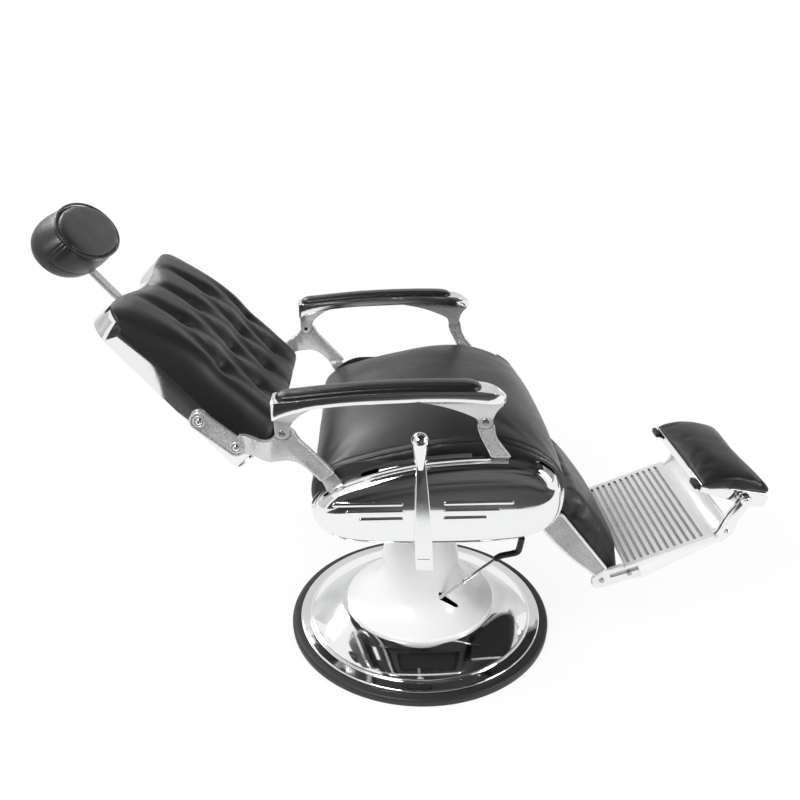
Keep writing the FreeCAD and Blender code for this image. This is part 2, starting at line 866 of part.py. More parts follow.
def make_leg_hangers():
    """Plates that carry the legrest from the front cross rail."""
    front = size("rail_front")
    body = new_body("leg_hanger_right")
    pad(body, "XZ_Plane", run((front, RAIL_BOTTOM), (front, RAIL_TOP - 1),
                              (front + 30, RAIL_TOP - 10), (front + 66, RAIL_BOTTOM - 38),
                              (front + 50, RAIL_BOTTOM - 64), (front + 32, RAIL_BOTTOM - 58),
                              (front + 12, RAIL_BOTTOM - 16), (front, RAIL_BOTTOM)),
        "hanger_thickness")
    place(body, y="-leg_inner - leg_thickness")
    left = mirror("leg_hanger_left", body)
    return join("leg_hangers", [body, left])


def make_leg_plates():
    """The satin side plates of the legrest."""
    body = new_body("leg_plate_right")
    pad(body, "XZ_Plane", run((262, 372), (302, 404), (424, 250.9), (400, 234.2),
                              ((332, 284), (262, 372))), "leg_thickness")
    place(body, y="-leg_inner")
    left = mirror("leg_plate_left", body)
    return join("leg_plates", [body, left])


def make_calf_board():
    """The board behind the calf pad."""
    body = new_body("calf_board")
    pad(body, "XZ_Plane", run((262, 423), (270, 430), (414, 248), (406, 242), (262, 423)),
        "leg_inner * 2")
    place(body, y="leg_inner")
    return body


def calf_outline(inset, drop):
    """The calf pad's side profile; drop sinks its front face."""
    return run((270, 430), ((264, 452), (274, 470 - inset)),
               (306 - drop * 0.5, 476 - inset),
               ((392 - drop, 366 - drop * 0.6), (463 - drop * 0.8, 246 + inset)),
               ((458 - drop * 0.6, 231 + inset), (440, 232 + inset)),
               (414, 248), (270, 430))


def make_calf_pad():
    """The leather pad between the legrest plates."""
    half = size("leg_inner") - size("calf_gap")
    stations = rounded_ends(half, size("calf_roll"), 4, 22)
    return shape_feature("calf_pad", stuffed(calf_outline, stations))


def on_foot(thing, y="0"):
    """Stand a piece drawn level in the foot plate's own axes."""
    lean(thing, "foot_x", y, "foot_z", "foot_angle")


def make_foot_rails():
    """The corner castings between legrest and foot plate."""
    body = new_body("foot_rail_right")
    pad(body, "XZ_Plane", run((-72, -10), ((-75, -24), (-70, -38)), (40, -44), (60, -42),
                              (60, -size("foot_plate")), (10, -size("foot_plate")),
                              (8, 0), (-29, 0), (-72, -10)), "foot_rail")
    on_foot(body, "-(foot_half_width - foot_skirt - foot_rail)")
    left = mirror("foot_rail_left", body)
    return join("foot_rails", [body, left])


def make_foot_plate():
    """The ribbed foot plate with its side skirts and turned-up front."""
    length = size("foot_length")
    thick = size("foot_plate")
    body = new_body("foot_plate")
    pad(body, "XZ_Plane", box_outline(10, -thick, length, 0), "foot_half_width * 2")
    on_foot(body, "foot_half_width")
    skirt = run((40, -thick + 1), (length + 8, -thick + 1), (length + 8, -18),
                (40, -44), (40, -thick + 1))
    pad(body, "XZ_Plane", skirt, "foot_skirt")
    pad(body, "XZ_Plane", skirt, "foot_skirt", "foot_half_width * 2 - foot_skirt")
    lip = run((length - 6, 0), ((length + 20, 4), (length + 40, 19)), (length + 43, 13),
              ((length + 24, -3), (length - 2, -thick)), (length - 6, -thick),
              (length - 6, 0))
    pad(body, "XZ_Plane", lip, "(leg_inner - calf_gap) * 2",
        "foot_half_width - leg_inner + calf_gap")
    before = body.Shape.Volume
    groove = draw(body, "XZ_Plane",
                  box_outline(18, -size("groove_depth"), 18 + size("groove_width"), 1),
                  "foot_skirt + 6")
    slot = body.newObject("PartDesign::Pocket", "groove")
    slot.Profile = groove
    slot.Reversed = True
    bind(slot, "Length", "foot_half_width * 2 - (foot_skirt + 6) * 2")
    pattern = body.newObject("PartDesign::LinearPattern", "grooves")
    pattern.Originals = [slot]
    pattern.Direction = (groove, ["H_Axis"])
    bind(pattern, "Length", "groove_pitch * (groove_count - 1)")
    pattern.Occurrences = int(size("groove_count"))
    body.Tip = pattern
    doc.recompute()
    if body.Shape.Volume >= before:
        raise RuntimeError("no grooves in foot_plate")
    return body


def make_foot_arms():
    """The elbows that carry the foot pad's pivots, from under the plate."""
    length = size("foot_length")
    thick = size("foot_plate")
    turn_back = Rotation(Vector(0, 0, 1), -size("foot_angle"))
    pivot = turn_back.multVec(Vector(size("pad_pivot_x") - size("foot_x"),
                                     size("pad_pivot_z") - size("foot_z"), 0))
    body = new_body("foot_arm_right")
    pad(body, "XZ_Plane", run((130, -thick), (length, -thick), (length + 2, -3), (237, 5),
                              (259, 32), (pivot.x - 13, pivot.y + 4),
                              ((pivot.x - 4, pivot.y + 13), (pivot.x + 13, pivot.y + 5)),
                              (pivot.x + 12, pivot.y - 9), (277, 9),
                              ((270, -10), (252, -21)), (234, -26), (130, -26),
                              (130, -thick)), "foot_rail")
    on_foot(body, "-(foot_half_width - foot_skirt - foot_rail)")
    bore = size("pad_pin_radius") + size("running_clearance")
    pocket(body, "XZ_Plane", circle(pivot.x, pivot.y, bore), "foot_rail")
    left = mirror("foot_arm_left", body)
    return join("foot_arms", [body, left])


def make_leg_screws():
    """Round heads that fasten the legrest's corners."""
    heads = []
    for number, (x, z) in enumerate(((475, 244), (412, 226))):
        heads.append(cylinder("leg_screw_%d" % number, "6", "4", str(x),
                              "-(foot_half_width - foot_skirt)", str(z), OUTWARD))
    right = join("leg_screw_right", heads)
    left = mirror("leg_screw_left", right)
    return join("leg_screws", [right, left])


# Foot pad

def tray_outline():
    """The foot pad tray's side profile."""
    return run((619, 447), (623, 462), (780, 434), (773, 404),
               ((735, 405), (700, 418)), (619, 447))


def make_foot_tray():
    """The tray under the foot pad, with its pivot studs."""
    half = size("pad_half_width")
    body = new_body("tray_shell")
    pad(body, "XZ_Plane", tray_outline(), "pad_half_width * 2")
    place(body, y="pad_half_width")
    wall = size("tray_wall")
    pocket(body, "XZ_Plane", run((622 + wall, 449), (623 + wall, 470), (779 - wall, 442),
                                 (771 - wall, 408), ((735, 409), (703, 421)),
                                 (622 + wall, 449)),
           "pad_half_width * 2 - tray_wall * 2", "tray_wall")
    reach = size("foot_half_width") - size("foot_skirt") - half - 1
    studs = []
    for number, sign in enumerate((-1, 1)):
        stud = cylinder("tray_stud_%d" % number, "pad_pin_radius",
                        "foot_half_width - foot_skirt - pad_half_width - 1",
                        "pad_pivot_x",
                        "-pad_half_width" if sign < 0 else
                        "foot_half_width - foot_skirt - 1", "pad_pivot_z", OUTWARD)
        studs.append(stud)
    return join("foot_tray", [body] + studs)


def foot_cushion_outline(inset, drop):
    """The foot pad's side profile over the tray's rim."""
    crown = size("pad_crown") - drop
    return run((624 + inset, 462), (626 + inset, 462 + crown * 0.35),
               ((700, 449 + crown), (757 - inset, 440 + crown * 0.8)),
               ((773 - inset, 438 + crown * 0.55), (779 - inset, 434.6)),
               (624 + inset, 462))


def make_foot_cushion():
    """The leather foot pad."""
    stations = rounded_ends(size("pad_half_width"), size("pad_roll"), 3, 18)
    return shape_feature("foot_cushion", stuffed(foot_cushion_outline, stations))


def make_pad_bumpers():
    """Rubber blocks on the tray's rear edge."""
    right = block("pad_bumper_right", "10", "34", "13", "609", "-pad_half_width + 6", "448")
    left = mirror("pad_bumper_left", right)
    return join("pad_bumpers", [right, left])


# Recline linkage

def make_back_shaft():
    """The cross shaft between the brackets, with the lock's crank."""
    reach = "(%s + hidden_thickness + 6)" % COVER_INNER_TEXT
    shaft = cylinder("shaft_bar", "shaft_radius", "%s * 2" % reach, "recline_pivot_x",
                     reach, "recline_pivot_z", OUTWARD)
    foot = RECLINE - Vector(0, size("crank_radius"), 0)
    web = new_body("crank_web")
    pad(web, "XZ_Plane", slanted_pill(RECLINE, foot, size("shaft_radius") + 4),
        "crank_thickness")
    place(web, y="-8")
    pin = cylinder("crank_pin", "crank_pin_radius", "12", "recline_pivot_x",
                   "-8 - crank_thickness", "recline_pivot_z - crank_radius", OUTWARD)
    return join("back_shaft", [shaft, web, pin])


def make_lock_rod():
    """The lock's rod, with an upright slot for the crank's pin."""
    foot = RECLINE - Vector(0, size("crank_radius"), 0)
    slot = size("crank_pin_radius") + 0.3
    body = new_body("lock_fork")
    pad(body, "XZ_Plane", box_outline(foot.x - 9, foot.y - 9, foot.x + 9, foot.y + 13) +
        box_outline(foot.x - slot, foot.y - slot, foot.x + slot, foot.y + slot + 4), "9")
    place(body, y="-9 - crank_thickness")
    rod = cylinder("lock_bar", "lock_rod_radius", "60", "recline_pivot_x + 8",
                   "-9 - crank_thickness - 4.5", "recline_pivot_z - crank_radius", ALONG_X)
    return join("lock_rod", [body, rod])


def make_lock_cylinder():
    """The recline lock's cylinder under the seat mount."""
    tube = cylinder("lock_tube", "lock_radius", "lock_length", "rail_rear + 2",
                    "-9 - crank_thickness - 4.5", "recline_pivot_z - crank_radius", ALONG_X)
    saddle = block("lock_saddle", "40", "20", "%s - (recline_pivot_z - crank_radius)"
                   % "(rod_top + bearing_height + hub_roof)", "rail_rear + 10",
                   "-19 - crank_thickness - 4.5", "recline_pivot_z - crank_radius")
    solid = join("lock_block", [tube, saddle])
    bore = cylinder("lock_bore", "lock_rod_radius + running_clearance", "lock_length - 4",
                    "rail_rear + 2", "-9 - crank_thickness - 4.5",
                    "recline_pivot_z - crank_radius", ALONG_X)
    return cut("lock_cylinder", solid, bore)


def make_bracket():
    """The casting that carries the back and the armrest's rear end."""
    inner = "arm_plane - casting_thickness / 2"
    outer = new_body("bracket_outer")
    pad(outer, "XZ_Plane",
        run((-176, 580), ((-194, 610), (-226, 644)), ((-252, 662), (-268, 678)),
            (ARM_REAR.x + 13, ARM_REAR.y + 3),
            ((ARM_REAR.x, ARM_REAR.y + size("eye_radius")), (ARM_REAR.x - 13, ARM_REAR.y + 2)),
            ((-305, 676), (-330, 668)), (-346, 664), (-336, 628), (-300, 631),
            ((-262, 627), (-240, 606)), (-208, 561), (-196, 540), (-166, 556), (-176, 580)),
        "casting_thickness")
    place(outer, y="-(%s)" % inner)
    thin = "(casting_thickness - eye_thickness) / 2"
    ring = circle(ARM_REAR.x, ARM_REAR.y, size("eye_radius") + size("fork_relief"))
    pocket(outer, "XZ_Plane", ring, thin)
    pocket(outer, "XZ_Plane", ring, thin, "casting_thickness - %s" % thin)
    hidden = new_body("bracket_hidden")
    pad(hidden, "XZ_Plane",
        run((-166, 590), (-214, 566), ((-196, 508), (RECLINE.x - 12, RECLINE.y)),
            ((RECLINE.x, RECLINE.y - 12), (RECLINE.x + 12, RECLINE.y)),
            ((-166, 508), (-166, 590))), "hidden_thickness + 2")
    place(hidden, y="-(%s + 2)" % COVER_INNER_TEXT)
    slab = shape_feature("bracket_crank", crank_slab())
    arm = new_body("bracket_arm")
    pad(arm, "XZ_Plane", slanted_pill(Vector(-67, 365, 0), Vector(-52, 262, 0), 20),
        "casting_thickness - 2")
    lean_with_back(arm, "-back_half_width")
    solid = join("bracket_solid", [outer, hidden, slab, arm])
    shaft = cylinder("bracket_bore", "shaft_radius", "40", "recline_pivot_x",
                     "-frame_half_width", "recline_pivot_z", OUTWARD)
    eye = cylinder("bracket_eye", "arm_pin_radius + running_clearance", "40",
                   "arm_pivot_x", "-frame_half_width", "arm_pivot_z", OUTWARD)
    holes = join("bracket_holes", [shaft, eye])
    return cut("bracket_right", solid, holes)


def crank_slab():
    """The bracket's cranked stretch, from the back's side out to the arm plane."""
    thick = size("casting_thickness")
    side = size("back_half_width")
    plane = size("arm_plane") - thick / 2
    corners = [(-396, side), (-396, side + thick - 2), (-378, side + thick - 2),
               (-334, plane + thick), (-320, plane + thick), (-320, plane),
               (-336, plane - 2), (-374, side)]
    points = [Vector(x, -y, 606 + (x + 396) * 0.3) for x, y in corners]
    face = Part.Face(Part.makePolygon(points + points[:1]))
    return face.extrude(Vector(-10, 0, 40))


def make_bracket_screws():
    """The heads of the screws that hold the brackets to the back."""
    heads = []
    for number, (forward, rise) in enumerate(((-67, 365), (-52, 276))):
        heads.append(cylinder("bracket_screw_%d" % number, "9", "4", str(forward),
                              "-back_half_width - casting_thickness + 2", str(rise),
                              OUTWARD))
    pair = join("bracket_screw_pair", heads)
    lean_with_back(pair)
    left = mirror("bracket_screw_left", pair)
    return join("bracket_screws", [pair, left])


def make_post():
    """The front post between side plate and armrest."""
    foot = POST_FOOT
    head = ARM_FRONT
    inner = "arm_plane - casting_thickness / 2"
    outer = new_body("post_outer")
    pad(outer, "XZ_Plane",
        run((head.x - 12, head.y - 6), ((head.x - 3, head.y + size("eye_radius")),
                                        (head.x + 12, head.y + 4)),
            (head.x + 18, head.y - 10), (153, 629), (162, 604), (128, 600), (120, 627),
            (head.x - 15, head.y - 14), (head.x - 12, head.y - 6)),
        "casting_thickness")
    place(outer, y="-(%s)" % inner)
    thin = "(casting_thickness - eye_thickness) / 2"
    ring = circle(head.x, head.y, size("eye_radius") + size("fork_relief"))
    pocket(outer, "XZ_Plane", ring, thin)
    pocket(outer, "XZ_Plane", ring, thin, "casting_thickness - %s" % thin)
    hidden = new_body("post_hidden")
    pad(hidden, "XZ_Plane",
        run((122, 630), (156, 626), ((190, 560), (foot.x + 13, foot.y + 2)),
            ((foot.x + 2, foot.y - 13), (foot.x - 13, foot.y - 3)),
            ((158, 552), (122, 630))), "hidden_thickness + 2")
    place(hidden, y="-(%s + 2)" % COVER_INNER_TEXT)
    solid = join("post_solid", [outer, hidden])
    stud = cylinder("post_bore", "post_pin_radius + running_clearance", "40",
                    POST_FOOT_X, "-frame_half_width", POST_FOOT_Z, OUTWARD)
    eye = cylinder("post_eye", "arm_pin_radius + 0.3", "40",
                   "post_pivot_x", "-frame_half_width", "post_pivot_z", OUTWARD)
    holes = join("post_holes", [stud, eye])
    return cut("post_right", solid, holes)


# Armrests

def make_armrest():
    """The armrest casting: a level bar with a web and a forked ear at each end."""
    half = size("armrest_width") / 2
    centre = size("arm_plane")
    bar = new_body("armrest_bar")
    pad(bar, "XZ_Plane",
        run((-303, 741), (-305, 754), ((-298, 768), (-284, 775)),
            ((-100, 778), (84, 774)), ((122, 768), (144, 749)), ((141, 741), (132, 738)),
            ((-80, 757), (-250, 747)), (-290, 736), (-303, 741)), "armrest_width")
    place(bar, y="-(arm_plane - armrest_width / 2)")
    plan = new_body("armrest_plan")
    pad(plan, "XY_Plane",
        run((-290, -centre - half), (112, -centre - half),
            ((145, -centre), (112, -centre + half)), (-290, -centre + half),
            ((-300, -centre + half - 4), (-306, -centre + half - 16)),
            (-306, -centre - half + 16), ((-300, -centre - half + 4),
                                          (-290, -centre - half))), "200")
    place(plan, z="650")
    level = doc.addObject("Part::Common", "armrest_level")
    level.Base = bar
    level.Tool = plan
    cheek = "(fork_cheek * 2 + eye_thickness + fork_gap * 2)"
    ears = new_body("armrest_ears")
    pad(ears, "XZ_Plane",
        run((-302, 748), (-303, 712), ((-303, 692), (-289, 675)), ((-276, 681), (-272, 694)),
            ((-262, 716), (-205, 748)), (-302, 748)), cheek)
    pad(ears, "XZ_Plane",
        run((-30, 750), ((44, 728), (88, 700)), ((98, 690), (114, 698)),
            ((115, 722), (134, 740)), (100, 756), (-30, 750)), cheek)
    place(ears, y="-(arm_plane - %s / 2)" % cheek)
    solid = join("armrest_solid", [level, ears])
    tools = []
    for number, (x, z) in enumerate((("arm_pivot_x", "arm_pivot_z"),
                                     ("post_pivot_x", "post_pivot_z"))):
        tools.append(cylinder("fork_slot_%d" % number, "eye_radius + fork_relief",
                              "eye_thickness + fork_gap * 2", x,
                              "-(arm_plane - eye_thickness / 2 - fork_gap)", z, OUTWARD))
        tools.append(cylinder("fork_bore_%d" % number, "arm_pin_radius", "60", x,
                              "-(arm_plane - 30)", z, OUTWARD))
    return cut("armrest_right", solid, join("fork_tools_%s" % "right", tools))


def make_arm_pins():
    """The pins of both forks, with round heads outside."""
    cheek = "(fork_cheek * 2 + eye_thickness + fork_gap * 2)"
    pins = []
    for number, (x, z) in enumerate((("arm_pivot_x", "arm_pivot_z"),
                                     ("post_pivot_x", "post_pivot_z"))):
        pins.append(cylinder("arm_pin_shank_%d" % number, "arm_pin_radius", cheek, x,
                             "-(arm_plane - %s / 2)" % cheek, z, OUTWARD))
        pins.append(cylinder("arm_pin_head_%d" % number, "arm_pin_radius + 2", "2.5", x,
                             "-(arm_plane + %s / 2)" % cheek, z, OUTWARD))
    return join("arm_pins_right", pins)


def make_arm_pad():
    """The black pad let into the armrest's top."""
    half = size("arm_pad_width") / 2
    centre = size("arm_plane")
    rise = size("arm_pad_rise")
    side = new_body("arm_pad_side")
    pad(side, "XZ_Plane",
        run((-284, 775.8), ((-283, 780), (-270, 777 + rise * 0.8)),
            ((-100, 780 + rise), (66, 776 + rise * 0.7)), ((86, 779.5), (90, 774.8)),
            (84, 774.9), ((-100, 778.7), (-284, 775.8))), "arm_pad_width")
    place(side, y="-(arm_plane - arm_pad_width / 2)")
    plan = new_body("arm_pad_plan")
    pad(plan, "XY_Plane",
        run((-276, -centre - half), (68, -centre - half),
            ((68 + half, -centre), (68, -centre + half)), (-276, -centre + half),
            ((-284, -centre), (-276, -centre - half))), "200")
    place(plan, z="700")
    common = doc.addObject("Part::Common", "arm_pad_right")
    common.Base = side
    common.Tool = plan
    common.Label = "arm_pad_right"
    doc.recompute()
    return common


# Back, drawn upright: X is forward of the pivot, Z is up along the back

def top_height(y):
    """How high the back's top edge is at this Y: two humps and a middle dip."""
    top = size("back_bottom") + size("back_length")
    reach = min(abs(y) / 175.0, 1.0)
    return top - size("top_dip") * (1 + math.cos(math.pi * reach)) / 2


def back_loop(shrink):
    """The surround's outline in Y and Z, smaller by shrink all round."""
    half = size("back_half_width") - shrink
    low = size("back_bottom") + shrink
    top = size("back_bottom") + size("back_length") - shrink
    dip = top - size("top_dip")
    return run((-half + 40, low), (half - 40, low), ((half - 11, low + 12), (half, low + 40)),
               (half, top - 52), ((half - 12, top - 16), (half - 48, top - 1)),
               ((half - 90, top), (half - 145, top - 9)),
               ((0, dip), (145 - half, top - 9)),
               ((90 - half, top), (48 - half, top - 1)),
               ((12 - half, top - 16), (-half, top - 52)), (-half, low + 40),
               ((11 - half, low + 12), (-half + 40, low)))


def make_back_frame():
    """The polished surround of the back."""
    body = new_body("back_frame")
    pad(body, "YZ_Plane", back_loop(0) + back_loop(size("band_wall")), "band_depth",
        "-band_rear")
    lean_with_back(body)
    return body


def make_back_board():
    """The board that the back cushion is sewn on."""
    body = new_body("back_board")
    pad(body, "YZ_Plane", back_loop(size("band_wall")), "back_board",
        "band_depth - band_rear - back_board")
    lean_with_back(body)
    return body


def make_back_cover():
    """The plain rear panel."""
    body = new_body("back_cover")
    pad(body, "YZ_Plane", back_loop(size("band_wall")), "5", "-band_rear - 1")
    lean_with_back(body)
    return body


def back_outline(side, pull):
    """The back cushion's profile at a given Y, pulled in at its ends."""
    rear = size("band_depth") - size("band_rear") + 0.3
    crest = size("back_crown") - pull * 1.3
    low = size("back_bottom") + 6 + pull * 0.8
    top = top_height(side) + 2 - pull
    return run((rear, low), ((rear + crest * 0.55, low - 4), (rear + crest, low + 30)),
               ((rear + crest + 5, low + 130), (rear + crest - 8, low + 250)),
               (rear + crest * 0.62, top - 42 - pull * 0.3),
               ((rear + crest * 0.42, top - 6), (rear, top)), (rear, low))


def make_back_cushion():
    """The leather back: crowned, drawn in at its sides, tufted at the buttons."""
    half = size("back_half_width")
    sides = [(side, 0) for side in (0, 44, 88, 132, 170)]
    for share in (0, 0.3, 0.55, 0.75, 0.9, 1):
        pull = size("back_pull") * (1 - math.sqrt(1 - share ** 2))
        sides.append((half - size("back_roll") * (1 - share), pull))
    sides = [(-side, pull) for side, pull in reversed(sides[1:])] + sides
    wires = [section(back_outline(side, pull), side) for side, pull in sides]
    solid = Part.makeLoft(wires, True, True)
    for forward, side, rise in button_places():
        ball = Part.makeSphere(28, Vector(forward + 28, side, rise))
        solid = solid.cut(ball)
        seat = Part.makeCylinder(size("button_radius"), 60, Vector(forward - 6, side, rise),
                                 Vector(1, 0, 0))
        solid = solid.cut(seat)
    thing = shape_feature("back_cushion", solid)
    lean_with_back(thing)
    return thing


def button_places():
    """The diamond of buttons: forward, side and rise of each recess."""
    pitch = size("tuft_pitch")
    crown = size("band_depth") - size("band_rear") + size("back_crown") - size("tuft_depth")
    rows = ((315, crown + 4, (-1, 0, 1)), (403, crown + 3, (-1.5, -0.5, 0.5, 1.5)),
            (517, crown - 8, (-1, 0, 1)))
    return [(forward, side * pitch, rise) for rise, forward, sides in rows for side in sides]


def make_back_buttons():
    """The covered buttons of the tufting."""
    buttons = []
    for number, (forward, side, rise) in enumerate(button_places()):
        buttons.append(cylinder("back_button_%d" % number, "button_radius", "button_height",
                                str(forward - 6), str(side), str(rise), ALONG_X))
    group = join("back_buttons", buttons)
    lean_with_back(group)
    return group


# Headrest, drawn upright with the back

def make_headrest_socket():
    """The sliding socket for the headrest's stem."""
    width = "(stem_width + socket_wall * 2)"
    solid = block("socket_block", "stem_depth + stem_thickness / 2 + socket_wall - band_rear - 1",
                  width, "socket_height", "-(stem_depth + stem_thickness / 2 + socket_wall)",
                  "-%s / 2" % width, "socket_bottom")
    slot = block("socket_slot", "stem_thickness + 0.4", "stem_width + 0.4",
                 "socket_height + 10", "-stem_depth - stem_thickness / 2 - 0.2",
                 "-stem_width / 2 - 0.2", "socket_bottom - 5")
    socket = cut("headrest_socket", solid, slot)
    lean_with_back(socket)
    return socket


def make_socket_knob():
    """The thumb knob that clamps the stem."""
    body = new_body("socket_knob")
    level = size("socket_bottom") + size("socket_height") / 2
    pad(body, "YZ_Plane", circle(0, level, size("knob_radius")), "knob_length",
        "-(stem_depth + stem_thickness / 2 + socket_wall + knob_length)")
    lean_with_back(body)
    return body


def make_headrest_stem():
    """The flat stem with its hinge barrel."""
    bar = block("stem_bar", "stem_thickness", "stem_width", "hinge_rise - stem_bottom",
                "-stem_depth - stem_thickness / 2", "-stem_width / 2", "stem_bottom")
    barrel = cylinder("stem_barrel", "stem_thickness - 1", "stem_width", "-stem_depth",
                      "stem_width / 2", "hinge_rise", OUTWARD)
    solid = join("stem_solid", [bar, barrel])
    bore = cylinder("stem_bore", "hinge_pin_radius + running_clearance", "stem_width + 4",
                    "-stem_depth", "stem_width / 2 + 2", "hinge_rise", OUTWARD)
    stem = cut("headrest_stem", solid, bore)
    lean_with_back(stem)
    return stem


def make_headrest_bracket():
    """The eared hinge plate in the headrest's pocket, with its pin."""
    ceiling = "hinge_rise + 15"
    plate = block("hinge_plate", "30", "pocket_half_width * 2 - 2", "5",
                  "-stem_depth - 15", "-pocket_half_width + 1", ceiling)
    ears = []
    for number, y in enumerate(("-stem_width / 2 - 5.5", "stem_width / 2 + 0.5")):
        ears.append(block("hinge_ear_%d" % number, "20", "5", "25", "-stem_depth - 10", y,
                          "hinge_rise - 10"))
    pin = cylinder("hinge_pin", "hinge_pin_radius", "stem_width + 11", "-stem_depth",
                   "stem_width / 2 + 5.5", "hinge_rise", OUTWARD)
    bracket = join("headrest_bracket", [plate] + ears + [pin])
    lean_with_back(bracket)
    return bracket


def oval(x, half_width, half_height, rise):
    """A closed wire of four arcs in the plane at this X."""
    points = []
    for step in range(8):
        angle = math.radians(45 * step)
        points.append(Vector(x, half_width * math.cos(angle),
                             rise + half_height * math.sin(angle)))
    edges = []
    for step in range(0, 8, 2):
        edges.append(Part.Arc(points[step], points[step + 1],
                              points[(step + 2) % 8]).toShape())
    return Part.Wire(edges)


def make_headrest_cushion():
    """The round-ended leather headrest, hollowed for the stem's hinge."""
    half = size("headrest_half_width")
    height = size("headrest_half_height")
    front = -size("headrest_front")
    rear = front - size("headrest_depth")
    rise = size("headrest_rise")
    middle = (front + rear) / 2
    wires = [oval(rear, half - 46, height - 36, rise),
             oval(rear + 4, half - 28, height - 22, rise),
             oval(rear + 14, half - 13, height - 10, rise),
             oval(rear + 30, half - 4, height - 3, rise),
             oval(middle, half, height, rise - 1),
             oval(front - 30, half - 2, height - 4, rise - 3),
             oval(front - 10, half - 5, height - 10, rise - 5),
             oval(front - 3, half - 13, height - 18, rise - 6),
             oval(front, half - 34, height - 34, rise - 7)]
    solid = Part.makeLoft(wires, True, True)
    depth = size("pocket_depth")
    wide = size("pocket_half_width")
    ceiling = size("hinge_rise") + 20
    pocket_box = Part.makeBox(depth, wide * 2, 90,
                              Vector(-size("stem_depth") - depth / 2, -wide, ceiling - 90))
    thing = shape_feature("headrest_cushion", solid.cut(pocket_box))
    lean_with_back(thing)
    return thing


# Recline lever

def make_recline_lever():
    """The long polished lever with its ball top."""
    x = size("lever_pivot_x")
    z = size("lever_pivot_z")
    body = new_body("lever_bar")
    pad(body, "XZ_Plane",
        run((x - 11, z + 196), (x - 18, z + 20), (x - 17, z - 50),
            ((x, z - 60), (x + 19, z - 50)), (x + 18, z + 20), (x + 6, z + 196),
            (x + 11, z + 228), (x - 26, z + 228), (x - 11, z + 196)), "lever_thickness")
    place(body, y="-(%s + lever_gap)" % COVER_OUTER_TEXT)
    ball = doc.addObject("Part::Sphere", "lever_ball")
    bind(ball, "Radius", "lever_ball_radius")
    place(ball, "lever_pivot_x - 8", "-(%s + lever_gap + lever_thickness / 2)"
          % COVER_OUTER_TEXT, "lever_pivot_z + lever_length")
    return join("recline_lever", [body, ball])


def make_lever_shaft():
    """The lever's shaft, which runs in under the seat."""
    shaft = cylinder("lever_shaft", "lever_shaft_radius", "lever_shaft_length",
                     "lever_pivot_x", "-(%s + lever_gap) + lever_shaft_length"
                     % COVER_OUTER_TEXT, "lever_pivot_z", OUTWARD)
    shaft.Label = "lever_shaft"
    return shaft


# Assembly: every node that is written out

nodes = [
    make_base_plate(), make_floor_ring(), make_base_cover(), make_bell_cover(),
    make_pump_cylinder(), make_gland_nut(), make_pump_bolts(), make_pedal_bracket(),
    make_pedal_pin(), make_pump_lever(), make_pedal_grip(), make_pump_plunger(),
    make_piston_rod(), make_swivel_bearing(), make_seat_mount(), make_seat_frame(),
    make_seat_board(), make_seat_cushion(), make_side_plates(), make_side_trims(),
    make_post_pins(), make_leg_hangers(), make_leg_plates(), make_calf_board(),
    make_calf_pad(), make_foot_rails(), make_foot_plate(), make_foot_arms(),
    make_leg_screws(), make_foot_tray(), make_foot_cushion(), make_pad_bumpers(),
    make_back_shaft(), make_lock_rod(), make_lock_cylinder(), make_bracket_screws(),
    make_back_frame(), make_back_board(), make_back_cover(), make_back_cushion(),
    make_back_buttons(), make_headrest_socket(), make_socket_knob(), make_headrest_stem(),
    make_headrest_bracket(), make_headrest_cushion(), make_recline_lever(),
    make_lever_shaft(),
]
for right in (make_side_cover(), make_bracket(), make_post(), make_armrest(),
              make_arm_pad(), make_arm_pins()):
    nodes.append(right)
    nodes.append(mirror(right.Label.replace("right", "left"), right))

doc.recompute()

for item in doc.Objects:
    if "Invalid" in item.State or "Error" in item.State:
        raise RuntimeError("failed: " + item.Name)
for node in nodes:
    if node.Shape.isNull() or not node.Shape.isValid():
        raise RuntimeError("bad shape: " + node.Label)
    node.Shape.exportStep("parts/%s.step" % node.Label)
    print(node.Label, len(node.Shape.Solids), round(node.Shape.Volume))
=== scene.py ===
import math

import bmesh
import bpy
from mathutils import Matrix, Vector
from mathutils.bvhtree import BVHTree


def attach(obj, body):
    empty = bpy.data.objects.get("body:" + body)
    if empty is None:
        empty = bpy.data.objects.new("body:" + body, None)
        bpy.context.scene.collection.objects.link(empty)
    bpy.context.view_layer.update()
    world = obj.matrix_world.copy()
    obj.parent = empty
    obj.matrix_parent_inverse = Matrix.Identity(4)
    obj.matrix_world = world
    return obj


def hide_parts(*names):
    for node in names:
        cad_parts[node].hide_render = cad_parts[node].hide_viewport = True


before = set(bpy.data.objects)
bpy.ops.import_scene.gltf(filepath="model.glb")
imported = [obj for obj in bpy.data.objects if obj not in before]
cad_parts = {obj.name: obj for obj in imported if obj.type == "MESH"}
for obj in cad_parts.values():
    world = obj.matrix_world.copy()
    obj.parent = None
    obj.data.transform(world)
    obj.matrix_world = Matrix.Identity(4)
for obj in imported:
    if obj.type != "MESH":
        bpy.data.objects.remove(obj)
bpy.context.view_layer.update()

bl_info = {
    "name": "Barber chair",
    "version": (1, 0, 0),
    "blender": (4, 5, 0),
    "location": "3D View > Sidebar > Chair",
    "description": "Dresses the chair's frame with leather, chrome and castings",
    "category": "Object",
}

